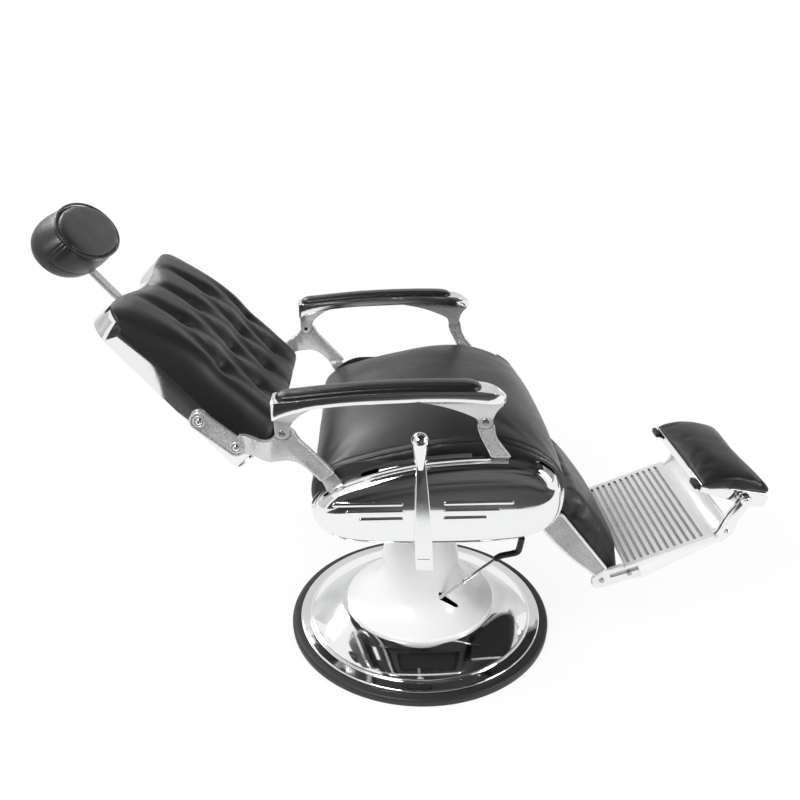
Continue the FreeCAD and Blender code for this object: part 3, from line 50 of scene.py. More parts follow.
MM = 0.001
ARM_REAR = (-289, 687)
ARM_FRONT = (101.5, 706)
ARM_Y = -322
BACK_HALF, BACK_LOW, BACK_TOP = 255, 225, 638
LEATHER_FACE, LEATHER_RISE = -46, 70
BUTTON_STEP = 117
BUTTONS = [(place * BUTTON_STEP, level) for level, places in
           ((517, (-1, 0, 1)), (403, (-1.5, -0.5, 0.5, 1.5)), (315, (-1, 0, 1)))
           for place in places]
SCREWS = ((-67, 365), (-52, 276))
COVER_MIDDLE, COVER_HALF = (16, 520), (250, 96)
COVER = [(a, b, 90) for a, b in (
    (-234, 498), (-235, 522), (-212, 550), (-177, 570), (-120, 590), (-40, 609.5),
    (40, 618), (120, 620.5), (190, 616), (232, 601), (260, 567), (267, 520), (258, 478),
    (232, 450), (190, 436), (120, 427.5), (20, 425), (-80, 427), (-150, 433), (-196, 445),
    (-225, 470))]
HEAD_HALF, HEAD_LEVEL = (142, 72), 781
DRUM_POWER = 2.12
STUFFING_FRAMES = 20
WHITE = (1, 1, 1, 1)
FINISHES = {}


def shift(x, y, z):
    """A move by millimetres."""
    return Matrix.Translation(Vector((x, y, z)) * MM)


def turned(degrees, axis="Y"):
    """A turn about an axis."""
    return Matrix.Rotation(math.radians(degrees), 4, axis)


BACK = shift(-174, 0, 447) @ turned(-39.7)
FOOT = shift(452, 0, 262) @ turned(-22)


# Settings

class ChairSizes(bpy.types.PropertyGroup):
    piping: bpy.props.FloatProperty(
        name="Piping", description="Radius of the piping along the seams",
        default=0.0026, min=0.001, max=0.006, unit="LENGTH")
    tuft_depth: bpy.props.FloatProperty(
        name="Tuft depth", description="How far the buttons pull the leather in",
        default=0.026, min=0.005, max=0.05, unit="LENGTH")
    rib_depth: bpy.props.FloatProperty(
        name="Rib depth", description="Depth of the foot plate's flutes",
        default=0.0042, min=0.001, max=0.006, unit="LENGTH")
    recess: bpy.props.FloatProperty(
        name="Casting recess", description="Depth of the sand-cast fields",
        default=0.0013, min=0.0003, max=0.003, unit="LENGTH")


class ChairColours(bpy.types.PropertyGroup):
    leather: bpy.props.FloatVectorProperty(
        name="Leather", description="Colour of the leather", subtype="COLOR",
        default=(0.006, 0.006, 0.0065), min=0, max=1)
    enamel: bpy.props.FloatVectorProperty(
        name="Enamel", description="Colour of the bell", subtype="COLOR",
        default=(0.86, 0.86, 0.855), min=0, max=1)
    chrome: bpy.props.FloatVectorProperty(
        name="Chrome", description="Tint of the plated metal", subtype="COLOR",
        default=(0.86, 0.865, 0.87), min=0, max=1)
    casting: bpy.props.FloatVectorProperty(
        name="Casting", description="Colour of the sand-cast fields", subtype="COLOR",
        default=(0.62, 0.62, 0.63), min=0, max=1)
    rubber: bpy.props.FloatVectorProperty(
        name="Rubber", description="Colour of the rubber", subtype="COLOR",
        default=(0.012, 0.012, 0.013), min=0, max=1)


def sizes():
    return bpy.context.scene.chair_sizes


def colours():
    return bpy.context.scene.chair_colours


# Mesh helpers: outlines are in millimetres

def side_place(y):
    """Outline points (x, z) in the plane at this y."""
    return lambda a, b: Vector((a, y, b)) * MM


def plan_place(z):
    """Outline points (x, y) in the plane at this height."""
    return lambda a, b: Vector((a, b, z)) * MM


def front_place(x):
    """Outline points (y, z) in the plane at this x."""
    return lambda a, b: Vector((x, a, b)) * MM


def outline(bm, corners, place, segments=0):
    """A face from corners (a, b, reach, segments), rounded over the reach of each."""
    verts = [bm.verts.new(place(corner[0], corner[1])) for corner in corners]
    bm.faces.new(verts)
    reaches = fitting(corners)
    for vert, corner, reach in zip(verts, corners, reaches):
        if reach:
            count = corner[3] if len(corner) > 3 else segments or int(4 + reach * 0.3)
            bmesh.ops.bevel(bm, geom=[vert], offset=reach * MM, offset_type="OFFSET",
                            segments=min(count, 32), profile=0.5, affect="VERTICES",
                            material=-1)
    bmesh.ops.remove_doubles(bm, verts=bm.verts, dist=2e-5)
    return max(bm.faces, key=lambda face: face.calc_area())


def fitting(corners):
    """The corners' reaches, cut down where two would meet on a short edge."""
    reaches = [corner[2] if len(corner) > 2 else 0 for corner in corners]
    shares = [1.0] * len(corners)
    for number, corner in enumerate(corners):
        other = corners[number - 1]
        length = math.hypot(corner[0] - other[0], corner[1] - other[1])
        wanted = reaches[number] + reaches[number - 1]
        if wanted > length:
            for place in (number, number - 1):
                shares[place] = min(shares[place], length / wanted)
    return [reach * share for reach, share in zip(reaches, shares)]


def oblong(a, b, c, d, *reach):
    """Corners of a box outline between two opposite corners."""
    return [(a, b, *reach), (c, b, *reach), (c, d, *reach), (a, d, *reach)]


def stadium(cx, cz, length, height):
    """Corners of a racetrack outline."""
    half, end = length / 2, height / 2
    return oblong(cx - half, cz - end, cx + half, cz + end, end)


def closed(bm):
    """The mesh with its faces turned outward."""
    bmesh.ops.recalc_face_normals(bm, faces=bm.faces)
    return bm


def extruded(bm, face, offset):
    """Extrudes the face by an offset in metres and returns the far face."""
    inner = any(len(edge.link_faces) > 1 for edge in face.edges)
    made = bmesh.ops.extrude_face_region(bm, geom=[face])["geom"]
    verts = [item for item in made if isinstance(item, bmesh.types.BMVert)]
    bmesh.ops.translate(bm, vec=offset, verts=verts)
    if inner:
        bmesh.ops.delete(bm, geom=[face], context="FACES_ONLY")
    return [item for item in made if isinstance(item, bmesh.types.BMFace)][0]


def plate(corners, place, offset, bevel=1.5, recess=None, both=False):
    """A rounded plate; recess is (inset mm, depth m) sunk into the far face."""
    bm = bmesh.new()
    offset = Vector(offset) * MM
    extruded(bm, outline(bm, corners, place), offset)
    closed(bm)
    if bevel:
        softened(bm, rims_of(bm, 0.9), bevel, 3)
    if recess:
        way = offset.normalized()
        for start, look in [(offset, way), (Vector(), -way)][:2 if both else 1]:
            bm = cut(bm, field(inner(corners, recess[0]), place, start, look, recess[1]))
    return bm


def field(corners, place, start, look, depth):
    """A cutter that sinks an outline by a depth (m), with the second material."""
    bm = bmesh.new()
    lift = start + look * MM
    face = outline(bm, corners, lambda a, b: place(a, b) + lift)
    extruded(bm, face, -look * (MM + depth))
    return painted(closed(bm), 1)


def inner(corners, inset):
    """The corners of an outline, moved inward by an inset."""
    points = [Vector(corner[:2]) for corner in corners]
    area = sum(a.x * b.y - a.y * b.x for a, b in zip(points, points[1:] + points[:1]))
    turn = 1 if area > 0 else -1
    found = []
    for number, point in enumerate(points):
        first = (point - points[number - 1]).normalized()
        second = (points[(number + 1) % len(points)] - point).normalized()
        sides = [Vector((-way.y, way.x)) * turn for way in (first, second)]
        mitre = (sides[0] + sides[1]) / (1 + sides[0].dot(sides[1]))
        bend = turn * first.cross(second) / (1 + first.dot(second))
        reach = corners[number][2] if len(corners[number]) > 2 else 0
        found.append((*(point + mitre * inset), max(0.5, reach - bend * inset)))
    return found


def lathed(corners, steps=144):
    """A closed profile (radius, height, reach) spun round the upright axis."""
    bm = bmesh.new()
    face = outline(bm, corners, side_place(0))
    bmesh.ops.delete(bm, geom=[face], context="FACES_ONLY")
    bmesh.ops.spin(bm, geom=bm.verts[:] + bm.edges[:], cent=(0, 0, 0), axis=(0, 0, 1),
                   dvec=(0, 0, 0), angle=math.tau, steps=steps, use_merge=True,
                   use_duplicate=False)
    bmesh.ops.remove_doubles(bm, verts=bm.verts, dist=1e-6)
    return closed(bm)


def rod(radius, length, bevel=0.6):
    """A round bar along Z from 0, with softened ends."""
    bm = bmesh.new()
    bmesh.ops.create_cone(bm, cap_ends=True, segments=32, radius1=radius * MM,
                          radius2=radius * MM, depth=length * MM,
                          matrix=Matrix.Translation((0, 0, length / 2 * MM)))
    if bevel:
        softened(bm, rims_of(bm, 1), bevel, 3)
    return bm


def moved(bm, matrix):
    """The same mesh, transformed."""
    bmesh.ops.transform(bm, matrix=matrix, verts=bm.verts)
    if matrix.determinant() < 0:
        bmesh.ops.reverse_faces(bm, faces=bm.faces)
    return bm


def mesh_of(bm, name="part"):
    """A mesh from a bmesh, which is used up."""
    mesh = bpy.data.meshes.new(name)
    bm.to_mesh(mesh)
    bm.free()
    return mesh


def together(*parts):
    """One bmesh from several, which are used up."""
    whole = bmesh.new()
    for part in parts:
        mesh = mesh_of(part)
        whole.from_mesh(mesh)
        bpy.data.meshes.remove(mesh)
    return whole


def mirrored(bm):
    """The mesh's mirror image on the other side of the chair."""
    return moved(bm.copy(), Matrix.Scale(-1, 4, (0, 1, 0)))


def doubled(*parts):
    """The parts together with their mirror images."""
    right = together(*parts)
    return together(right, mirrored(right))


def outward(point, radius, length, bevel=0.6):
    """A bar along -Y from a point in millimetres."""
    return moved(rod(radius, length, bevel), shift(*point) @ turned(90, "X"))


def tube(points, radius, closed_up=False, corner=12):
    """A round tube along a smooth line through control points in metres."""
    curve = bpy.data.curves.new("tube", "CURVE")
    curve.dimensions = "3D"
    curve.bevel_depth = radius
    curve.bevel_resolution = 3
    curve.resolution_u = corner
    curve.use_fill_caps = not closed_up
    spline = curve.splines.new("NURBS")
    spline.points.add(len(points) - 1)
    for point, place in zip(spline.points, points):
        point.co = (*place, 1)
    spline.use_cyclic_u = closed_up
    spline.order_u = 4
    spline.use_endpoint_u = not closed_up
    holder = bpy.data.objects.new("tube", curve)
    mesh = bpy.data.meshes.new_from_object(holder)
    bm = bmesh.new()
    bm.from_mesh(mesh)
    bpy.data.objects.remove(holder)
    bpy.data.curves.remove(curve)
    bpy.data.meshes.remove(mesh)
    return bm


def placed(name, data):
    """A new object in the scene."""
    thing = bpy.data.objects.new(name, data)
    bpy.context.scene.collection.objects.link(thing)
    return thing


def piece(name, bm, finish, body, replaces=(), smooth=38):
    """A finished piece at the origin that rides on its body."""
    mesh = mesh_of(bm, name)
    for material in [finish] if isinstance(finish, str) else finish:
        mesh.materials.append(FINISHES[material])
    thing = placed(name, mesh)
    mesh.shade_smooth()
    if smooth:
        mesh.set_sharp_from_angle(angle=math.radians(smooth))
    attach(thing, body)
    if replaces:
        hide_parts(*replaces)
    return thing


def evaluated(thing):
    """The mesh that the thing's modifiers give."""
    bpy.context.view_layer.update()
    graph = bpy.context.evaluated_depsgraph_get()
    return bpy.data.meshes.new_from_object(thing.evaluated_get(graph))


def cut(bm, cutter):
    """One mesh cut by another; both are used up."""
    things = []
    for part in (bm, cutter):
        mesh = mesh_of(part)
        mesh.materials.append(None)
        mesh.materials.append(None)
        things.append(placed("part", mesh))
    made = things[0].modifiers.new("Cut", "BOOLEAN")
    made.operation = "DIFFERENCE"
    made.solver = "MANIFOLD"
    made.object = things[1]
    result = evaluated(things[0])
    whole = bmesh.new()
    whole.from_mesh(result)
    meshes = [result] + [thing.data for thing in things]
    for thing in things:
        bpy.data.objects.remove(thing)
    for mesh in meshes:
        bpy.data.meshes.remove(mesh)
    return whole


def painted(bm, number):
    """The mesh with every face on one material slot."""
    for face in bm.faces:
        face.material_index = number
    return bm


def dress(name, finish):
    """A finish on a CAD node that is shown as it is."""
    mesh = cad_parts[name].data
    mesh.materials.clear()
    mesh.materials.append(FINISHES[finish])


# Node groups that more than one finish uses

def new_group(name, inputs, outputs):
    """An empty shader group with named float inputs (with defaults) and outputs."""
    group = bpy.data.node_groups.new(name, "ShaderNodeTree")
    for label, value in inputs:
        socket = group.interface.new_socket(label, in_out="INPUT",
                                            socket_type="NodeSocketFloat")
        socket.default_value = value
    for label in outputs:
        group.interface.new_socket(label, in_out="OUTPUT", socket_type="NodeSocketFloat")
    source = group.nodes.new("NodeGroupInput")
    target = group.nodes.new("NodeGroupOutput")
    return group, source, target


def node(tree, kind, **values):
    """A node with its plain settings."""
    made = tree.nodes.new(kind)
    for key, value in values.items():
        setattr(made, key, value)
    return made


def fed(tree, made, values):
    """The node with its inputs fed: sockets are linked, anything else is set."""
    for key, value in values.items():
        if isinstance(value, bpy.types.NodeSocket):
            tree.links.new(value, made.inputs[key])
        else:
            made.inputs[key].default_value = value
    return made


def object_place(tree):
    """The place on the object, in its own coordinates."""
    return node(tree, "ShaderNodeTexCoord").outputs["Object"]


def stretched(tree, *scale):
    """The place on the object, scaled along each axis."""
    values = {"Scale": scale, "Vector": object_place(tree)}
    return fed(tree, node(tree, "ShaderNodeMapping"), values).outputs["Vector"]


def math_node(tree, operation, first, second=None, clamp=False):
    """A Math node fed by sockets or numbers; returns its output."""
    made = node(tree, "ShaderNodeMath", operation=operation, use_clamp=clamp)
    values = {0: first} if second is None else {0: first, 1: second}
    return fed(tree, made, values).outputs[0]


def times(tree, first, second, clamp=False):
    """The product of two values."""
    return math_node(tree, "MULTIPLY", first, second, clamp)


def plus(tree, first, second):
    """The sum of two values."""
    return math_node(tree, "ADD", first, second)


def over(tree, value, least):
    """How far a value lies over a least one, never below 0."""
    return math_node(tree, "SUBTRACT", value, least, True)


def noise(tree, vector, scale, detail=4, roughness=0.5, distortion=0.0):
    """A noise texture's value."""
    values = {"Detail": detail, "Roughness": roughness, "Distortion": distortion,
              "Vector": vector, "Scale": scale}
    return fed(tree, node(tree, "ShaderNodeTexNoise"), values).outputs["Fac"]


def make_grain_group():
    """Pebbled leather: Height for the bump, Pores as a darkening mask."""
    group, source, target = new_group(
        "Leather grain", [("Scale", 900.0), ("Creases", 0.35)], ["Height", "Pores"])
    where = object_place(group)
    warp = noise(group, where, 60, 3)
    cells = fed(group, node(group, "ShaderNodeTexVoronoi", feature="SMOOTH_F1"),
                {"Vector": where, "Scale": source.outputs["Scale"], "Smoothness": 0.6})
    fine = noise(group, where, 1500, 3)
    folds = noise(group, where, 22, 5, 0.55, 1.4)
    wavy = plus(group, times(group, warp, 0.6), 0.5)
    pebbles = times(group, cells.outputs["Distance"], wavy)
    height = plus(group, pebbles, times(group, fine, 0.22))
    bent_in = times(group, folds, source.outputs["Creases"])
    fed(group, target, {"Height": plus(group, height, bent_in),
                        "Pores": times(group, pebbles, 0.8, True)})


def make_marks_group():
    """Handling marks: a roughness between Low and High, and a Dust mask."""
    group, source, target = new_group(
        "Handling marks", [("Low", 0.05), ("High", 0.12), ("Scale", 9.0)],
        ["Roughness", "Dust"])
    where = object_place(group)
    broad = noise(group, where, source.outputs["Scale"], 6, 0.6, 0.4)
    streak = noise(group, stretched(group, 3, 40, 40), 3, 3)
    both = plus(group, times(group, broad, 0.7), times(group, streak, 0.3))
    spread = fed(group, node(group, "ShaderNodeMapRange"),
                 {"From Min": 0.34, "From Max": 0.66, "Value": both,
                  "To Min": source.outputs["Low"], "To Max": source.outputs["High"]})
    dust = times(group, over(group, noise(group, where, 260, 2), 0.58), 1.6)
    fed(group, target, {"Roughness": spread.outputs["Result"],
                        "Dust": times(group, dust, broad)})


def make_sand_group():
    """Sand-cast metal: Height for the bump, Shade for the pitted tone."""
    group, source, target = new_group(
        "Sand cast", [("Scale", 420.0)], ["Height", "Shade"])
    where = object_place(group)
    coarse = noise(group, where, source.outputs["Scale"], 3, 0.65)
    fine = noise(group, where, 1400, 2, 0.6)
    cloud = noise(group, where, 26, 3)
    shade = plus(group, times(group, coarse, 0.75), times(group, cloud, 0.25))
    fed(group, target, {"Height": plus(group, coarse, times(group, fine, 0.5)),
                        "Shade": times(group, over(group, shade, 0.36), 3.6, True)})


def make_wear_group():
    """Edge wear: a Mask that is strong on convex edges, broken up by noise."""
    group, source, target = new_group("Edge wear", [("Amount", 1.0)], ["Mask"])
    geometry = node(group, "ShaderNodeNewGeometry")
    edge = times(group, over(group, geometry.outputs["Pointiness"], 0.52), 12, True)
    broken = times(group, edge, noise(group, object_place(group), 140, 4))
    fed(group, target, {"Mask": times(group, broken, source.outputs["Amount"], True)})


# Finishes

def new_material(name):
    """A material with its tree and Principled shader."""
    material = bpy.data.materials.new(name)
    material.use_nodes = True
    return material, material.node_tree, material.node_tree.nodes["Principled BSDF"]


def start_finish(name):
    """A new finish; returns its tree and shader."""
    FINISHES[name], tree, shader = new_material(name)
    return tree, shader


def use_group(tree, name, **values):
    """One of the shared groups, with its own values."""
    made = node(tree, "ShaderNodeGroup", node_tree=bpy.data.node_groups[name])
    return fed(tree, made, values)


def blend_colour(tree, mask, first, second):
    """A colour between two (values or sockets), by a mask socket."""
    values = {"Factor": mask}
    for key, tone in (("A", first), ("B", second)):
        values[key] = tone if isinstance(tone, bpy.types.NodeSocket) else (*tone, 1)
    mix = fed(tree, node(tree, "ShaderNodeMix", data_type="RGBA"), values)
    return mix.outputs["Result"]


def bump(tree, shader, height, strength, distance):
    """A Bump node from a height socket to the shader's normal."""
    made = fed(tree, node(tree, "ShaderNodeBump"),
               {"Strength": strength, "Distance": distance, "Height": height})
    fed(tree, shader, {"Normal": made.outputs["Normal"]})


def lighter(colour, share):
    """The colour moved towards white by a share."""
    return tuple(value + (1 - value) * share for value in colour)


def darker(colour, share):
    """The colour scaled down to a share."""
    return tuple(value * share for value in colour)


def leather_finish(name, colour, scale=900.0, creases=0.35, low=0.3, high=0.46):
    """Grained leather with lighter worn edges."""
    tree, shader = start_finish(name)
    grain = use_group(tree, "Leather grain", Scale=scale, Creases=creases)
    marks = use_group(tree, "Handling marks", Low=low, High=high, Scale=7.0)
    wear = use_group(tree, "Edge wear", Amount=0.5)
    pores = blend_colour(tree, grain.outputs["Pores"], lighter(colour, 0.004), colour)
    tone = blend_colour(tree, wear.outputs["Mask"], pores, lighter(colour, 0.02))
    fed(tree, shader, {"Base Color": tone, "Roughness": marks.outputs["Roughness"]})
    bump(tree, shader, grain.outputs["Height"], 0.32, 0.0006)


def chrome_finish(name, colour, low=0.03, high=0.09):
    """Polished metal with faint handling marks."""
    tree, shader = start_finish(name)
    marks = use_group(tree, "Handling marks", Low=low, High=high, Scale=11.0)
    tone = blend_colour(tree, marks.outputs["Dust"], colour, darker(colour, 0.82))
    fed(tree, shader, {"Base Color": tone, "Metallic": 1,
                       "Roughness": marks.outputs["Roughness"]})


def casting_finish(name, colour, scale, strength, low, high, metal, deep=0.8):
    """Sand-cast metal: darker in its pits, lighter on worn edges."""
    tree, shader = start_finish(name)
    sand = use_group(tree, "Sand cast", Scale=scale)
    marks = use_group(tree, "Handling marks", Low=low, High=high, Scale=14.0)
    wear = use_group(tree, "Edge wear", Amount=0.8)
    pitted = blend_colour(tree, sand.outputs["Shade"], darker(colour, deep), colour)
    tone = blend_colour(tree, wear.outputs["Mask"], pitted, lighter(colour, 0.5))
    fed(tree, shader, {"Base Color": tone, "Metallic": metal,
                       "Roughness": marks.outputs["Roughness"]})
    bump(tree, shader, sand.outputs["Height"], strength, 0.0005)


def painted_finish(name, colour, low, high, peel=0.05, coat=0.0):
    """Paint, rubber or cloth with dust and a fine uneven surface."""
    tree, shader = start_finish(name)
    marks = use_group(tree, "Handling marks", Low=low, High=high, Scale=8.0)
    sand = use_group(tree, "Sand cast", Scale=180.0)
    tone = blend_colour(tree, marks.outputs["Dust"], colour, lighter(colour, 0.12))
    fed(tree, shader, {"Base Color": tone, "Roughness": marks.outputs["Roughness"],
                       "Coat Weight": coat, "Coat Roughness": 0.06})
    bump(tree, shader, sand.outputs["Height"], peel, 0.0004)


def steel_finish(name, colour):
    """Machined steel with fine turning marks round its axis."""
    tree, shader = start_finish(name)
    marks = use_group(tree, "Handling marks", Low=0.22, High=0.38, Scale=16.0)
    lines = noise(tree, stretched(tree, 2, 2, 600), 3, 2)
    tone = blend_colour(tree, lines, darker(colour, 0.7), colour)
    fed(tree, shader, {"Base Color": tone, "Metallic": 1,
                       "Roughness": marks.outputs["Roughness"]})
    bump(tree, shader, lines, 0.12, 0.0003)


def make_finishes():
    """Every finish on the chair."""
    make_grain_group()
    make_marks_group()
    make_sand_group()
    make_wear_group()
    paint = colours()
    leather, chrome = tuple(paint.leather), tuple(paint.chrome)
    leather_finish("leather", leather)
    leather_finish("button leather", leather, 1300.0, 0.1, 0.3, 0.42)
    leather_finish("panel vinyl", leather, 700.0, 0.1, 0.42, 0.55)
    leather_finish("arm vinyl", leather, 1500.0, 0.05, 0.16, 0.26)
    chrome_finish("chrome", chrome)
    chrome_finish("polished casting", chrome, 0.06, 0.14)
    casting_finish("sand casting", tuple(paint.casting), 330.0, 0.6, 0.36, 0.5, 0.5, 0.4)
    casting_finish("satin aluminium", (0.84, 0.84, 0.85), 700.0, 0.06, 0.3, 0.44, 0.4,
                   0.94)
    casting_finish("satin casting", (0.64, 0.64, 0.65), 600.0, 0.1, 0.2, 0.32, 0.6)
    # The flutes' metal is darker than the plate's: painted shade in the grooves.
    casting_finish("groove metal", (0.5, 0.5, 0.51), 700.0, 0.05, 0.14, 0.24, 0.9)
    painted_finish("white enamel", tuple(paint.enamel), 0.16, 0.24, 0.02, 0.5)
    painted_finish("frame paint", (0.02, 0.02, 0.022), 0.4, 0.55, 0.15)
    painted_finish("cast iron", (0.05, 0.05, 0.052), 0.6, 0.75, 0.5)
    painted_finish("rubber", tuple(paint.rubber), 0.42, 0.56, 0.12)
    painted_finish("plastic", (0.015, 0.015, 0.016), 0.34, 0.46, 0.08)
    steel_finish("machined steel", (0.56, 0.56, 0.57))
    steel_finish("brass", (0.72, 0.52, 0.24))
    painted_finish("dust cloth", (0.018, 0.018, 0.019), 0.8, 0.92, 0.6)


# Base and pump

def make_ring():
    """The black rubber ring on the floor."""
    bm = lathed([(300, 0), (329, 0, 3), (330.3, 20, 8), (308.5, 20.4, 1.5), (308.5, 11),
                 (300, 11)])
    piece("rubber_ring", bm, "rubber", "base", ["floor_ring"])


def make_dish():
    """The dished cover with its rolled lip and stepped bead."""
    bm = lathed([(305.5, 11.2), (308, 11.2, 1), (308, 25.6, 4), (282, 26.4, 2.5),
                 (279.6, 31.2, 1.6), (276.6, 30.6, 1.6),
                 (238, 54.8, 45), (190, 61.2, 3), (157, 61.2), (157, 59), (189, 59),
                 (237, 52.6, 44), (276, 27.4), (281, 24.4), (296, 23),
                 (305.5, 20, 3)], 192)
    piece("base_dish", bm, "chrome", "base", ["base_cover"])


def make_bell():
    """The enamelled bell with its slot for the pedal."""
    bm = lathed([(184.5, 61.3), (187.2, 61.3, 0.8), (187.2, 71.2, 4), (182.2, 71.4, 1),
                 (98, 107.5, 90), (95, 199, 20), (84.3, 271, 1), (81.5, 271),
                 (92.5, 199, 20), (95.3, 105.2, 88), (181, 68.6, 1), (184.5, 68, 2)])
    slot = bmesh.new()
    bmesh.ops.create_cube(slot, size=1, matrix=Matrix.Translation((0.0685, -0.1, 0.121))
                          @ Matrix.Diagonal((0.057, 0.0116, 0.044, 1)))
    rims = [edge for edge in slot.edges
            if abs((edge.verts[0].co - edge.verts[1].co).normalized().x) > 0.9]
    softened(slot, rims, 5.4, 5)
    piece("bell_enamel", cut(bm, slot), "white enamel", "base",
          ["bell_cover"])


def make_pedal():
    """The pump's chrome rod with its collar, and the black grip."""
    lean = shift(-20, -100, 77) @ turned(50.7)
    parts = [moved(rod(4.9, 262), lean), moved(rod(6.6, 16, 1.2), lean @ shift(0, 0, 142)),
             moved(rod(11, 21, 1), shift(-20, -89.5, 77) @ turned(90, "X"))]
    piece("pedal_stem", together(*parts), "chrome", "pedal", ["pump_lever"])
    path = [Vector((x, -100, z)) * MM for x, z in
            ((176, 238), (182, 243), (186, 246), (205, 249.5), (221, 253), (228, 256),
             (230.5, 266), (233, 282), (234.2, 291))]
    knobs = [ball((234.4, -100, 292.4), 7.9), ball((177, -100, 238.6), 7.9)]
    piece("pedal_sleeve", together(tube(path, 0.0078), *knobs), "rubber", "pedal",
          ["pedal_grip"])


def ball(point, radius):
    """A round ball at a point in millimetres."""
    bm = bmesh.new()
    bmesh.ops.create_uvsphere(bm, u_segments=32, v_segments=20, radius=radius * MM,
                              matrix=shift(*point))
    return bm


# Side covers and lever

def make_side_covers():
    """The domed covers with their notched flanges."""
    bm = bmesh.new()
    face = outline(bm, COVER, side_place(-306), 5)
    (x, z), (half, tall) = COVER_MIDDLE, COVER_HALF
    level, old = 0.0, (1.0, 1.0)
    for inset, height in ((0, 3), (0.7, 8.5), (2.4, 14.2), (5.4, 19.8), (9.5, 25),
                          (15, 29.6), (22, 33.4), (31, 36.4), (42, 38.4), (54, 39.6),
                          (68, 40.2), (82, 40.4), (92, 40.5)):
        face = extruded(bm, face, Vector((0, -(height - level), 0)) * MM)
        new = (1 - inset / half, 1 - inset / tall)
        for vert in face.verts:
            vert.co.x = (x + (vert.co.x / MM - x) * new[0] / old[0]) * MM
            vert.co.z = (z + (vert.co.z / MM - z) * new[1] / old[1]) * MM
        level, old = height, new
    back = max(bm.faces, key=lambda f: f.calc_center_median().y)
    bmesh.ops.delete(bm, geom=[back], context="FACES_ONLY")
    walled(closed(bm))
    flange = bmesh.new()
    plane = outline(flange, inner(COVER, -7), side_place(-304), 5)
    hoop(flange, plane, 11, Vector((0, -2.2, 0)))
    softened(flange, rims_of(flange, 0.9), 0.7, 2)
    dome, low = cover_notches()
    whole = together(cut(bm, dome), cut(flange, low))
    for name, shell in (("right", whole.copy()), ("left", mirrored(whole))):
        piece("cover_shell_" + name, shell, "chrome", "seat",
              ["side_cover_" + name])


def hoop(bm, face, width, offset):
    """Turns a face into a closed hoop of this width and thickness."""
    bmesh.ops.inset_region(bm, faces=[face], thickness=width * MM, depth=0,
                           use_boundary=True, use_even_offset=True)
    ring = [other for other in bm.faces if other is not face]
    bmesh.ops.delete(bm, geom=[face], context="FACES_ONLY")
    made = bmesh.ops.extrude_face_region(bm, geom=ring)["geom"]
    verts = [item for item in made if isinstance(item, bmesh.types.BMVert)]
    bmesh.ops.translate(bm, vec=offset * MM, verts=verts)
    closed(bm)


def domed(bm, face, rings, radius, ends, level):
    """Domes a racetrack face upward through rings (inset, height) in millimetres."""
    lift, old = 0.0, radius
    for inset, height in rings:
        face = extruded(bm, face, Vector((0, 0, 1)) * (height - lift) * MM)
        new = radius - inset
        for vert in face.verts:
            spine = Vector((min(max(vert.co.x / MM, ends[0]), ends[1]) * MM, level * MM,
                            vert.co.z))
            vert.co = spine + (vert.co - spine) * (new / old)
        lift, old = height, new


def walled(bm):
    """Gives an open dome that bulges to -Y a 2 mm wall inward."""
    if sum(face.normal.y * face.calc_area() for face in bm.faces) > 0:
        bmesh.ops.reverse_faces(bm, faces=bm.faces)
    bmesh.ops.solidify(bm, geom=bm.faces[:], thickness=2 * MM)


def cover_notches():
    """Prisms that notch the dome and the flange for post and bracket."""
    rear = [(-262, 566), (-212, 555), (-190, 572)]
    shapes = (([(106, 598), (170, 589), (246, 567), (260, 640), (106, 640)], 316.5),
              (rear + [(-104, 587), (-104, 640), (-262, 640)], 316.5),
              ([(81, 614.2), (217, 604), (217, 640), (81, 640)], 307),
              (rear + [(-140, 582), (-140, 640), (-262, 640)], 307))
    prisms = [plate(corners, side_place(-300), (0, 300 - depth, 0), 0)
              for corners, depth in shapes]
    return together(*prisms[:2]), together(*prisms[2:])


def make_trims():
    """Raised level bars on the covers."""
    bars = []
    for number, length in enumerate((140, 114, 88)):
        level = 537 - 17.5 * number
        for start in (23, -57 - length):
            corners = oblong(start, level - 4.4, start + length, level + 4.4, 4.3)
            bars.append(plate(corners, side_place(-344.6), (0, -4.4, 0), 2.4))
    piece("cover_bars", doubled(*bars), "polished casting", "seat",
          ["side_trims"])


def make_lever():
    """The recline lever: a flat bar with a long sunk panel and a ball on a cone."""
    bar = plate([(-32, 392, 3), (3, 390, 3), (1.2, 452, 60), (-3, 511, 60), (-7.2, 557, 50),
                 (-11.3, 598, 40), (-15, 640, 2), (-33, 640, 2), (-34.4, 558, 60),
                 (-35, 454, 60)], side_place(-350), (0, -14, 0), 2)
    panel = field([(-29, 418, 3), (-3.5, 417, 3), (-4.5, 452, 40), (-8.4, 511, 40),
                   (-12.8, 556, 7.4), (-28.4, 556, 7.4), (-29.6, 500, 60)],
                  side_place(-364), Vector((0, 0, 0)), Vector((0, -1, 0)), 0.0011)
    cone = moved(lathed([(0, 0), (8.2, 0, 2), (9.4, 10, 10), (15.8, 50, 10), (17, 60, 4),
                         (0, 66)], 64), shift(-24.3, -357, 620) @ turned(-2))
    parts = together(cut(bar, painted(panel, 0)), cone, ball((-26, -357, 679.5), 17.4))
    piece("lever_bar", parts, "polished casting", "lever",
          ["recline_lever"])


# Armrests, posts and brackets

def sliced(bm, axis, places):
    """Cuts edge loops across a mesh at places (mm) along an axis (0, 1 or 2)."""
    normal = Vector([1 if number == axis else 0 for number in range(3)])
    for level in places:
        bmesh.ops.bisect_plane(bm, geom=bm.verts[:] + bm.edges[:] + bm.faces[:],
                               dist=1e-6, plane_co=normal * level * MM, plane_no=normal)
    return bm


def bent(value, table):
    """A height from a table of (place, height) pairs."""
    for (a, low), (b, high) in zip(table, table[1:]):
        if value <= b:
            return low + (high - low) * max(0.0, (value - a) / (b - a))
    return table[-1][1]


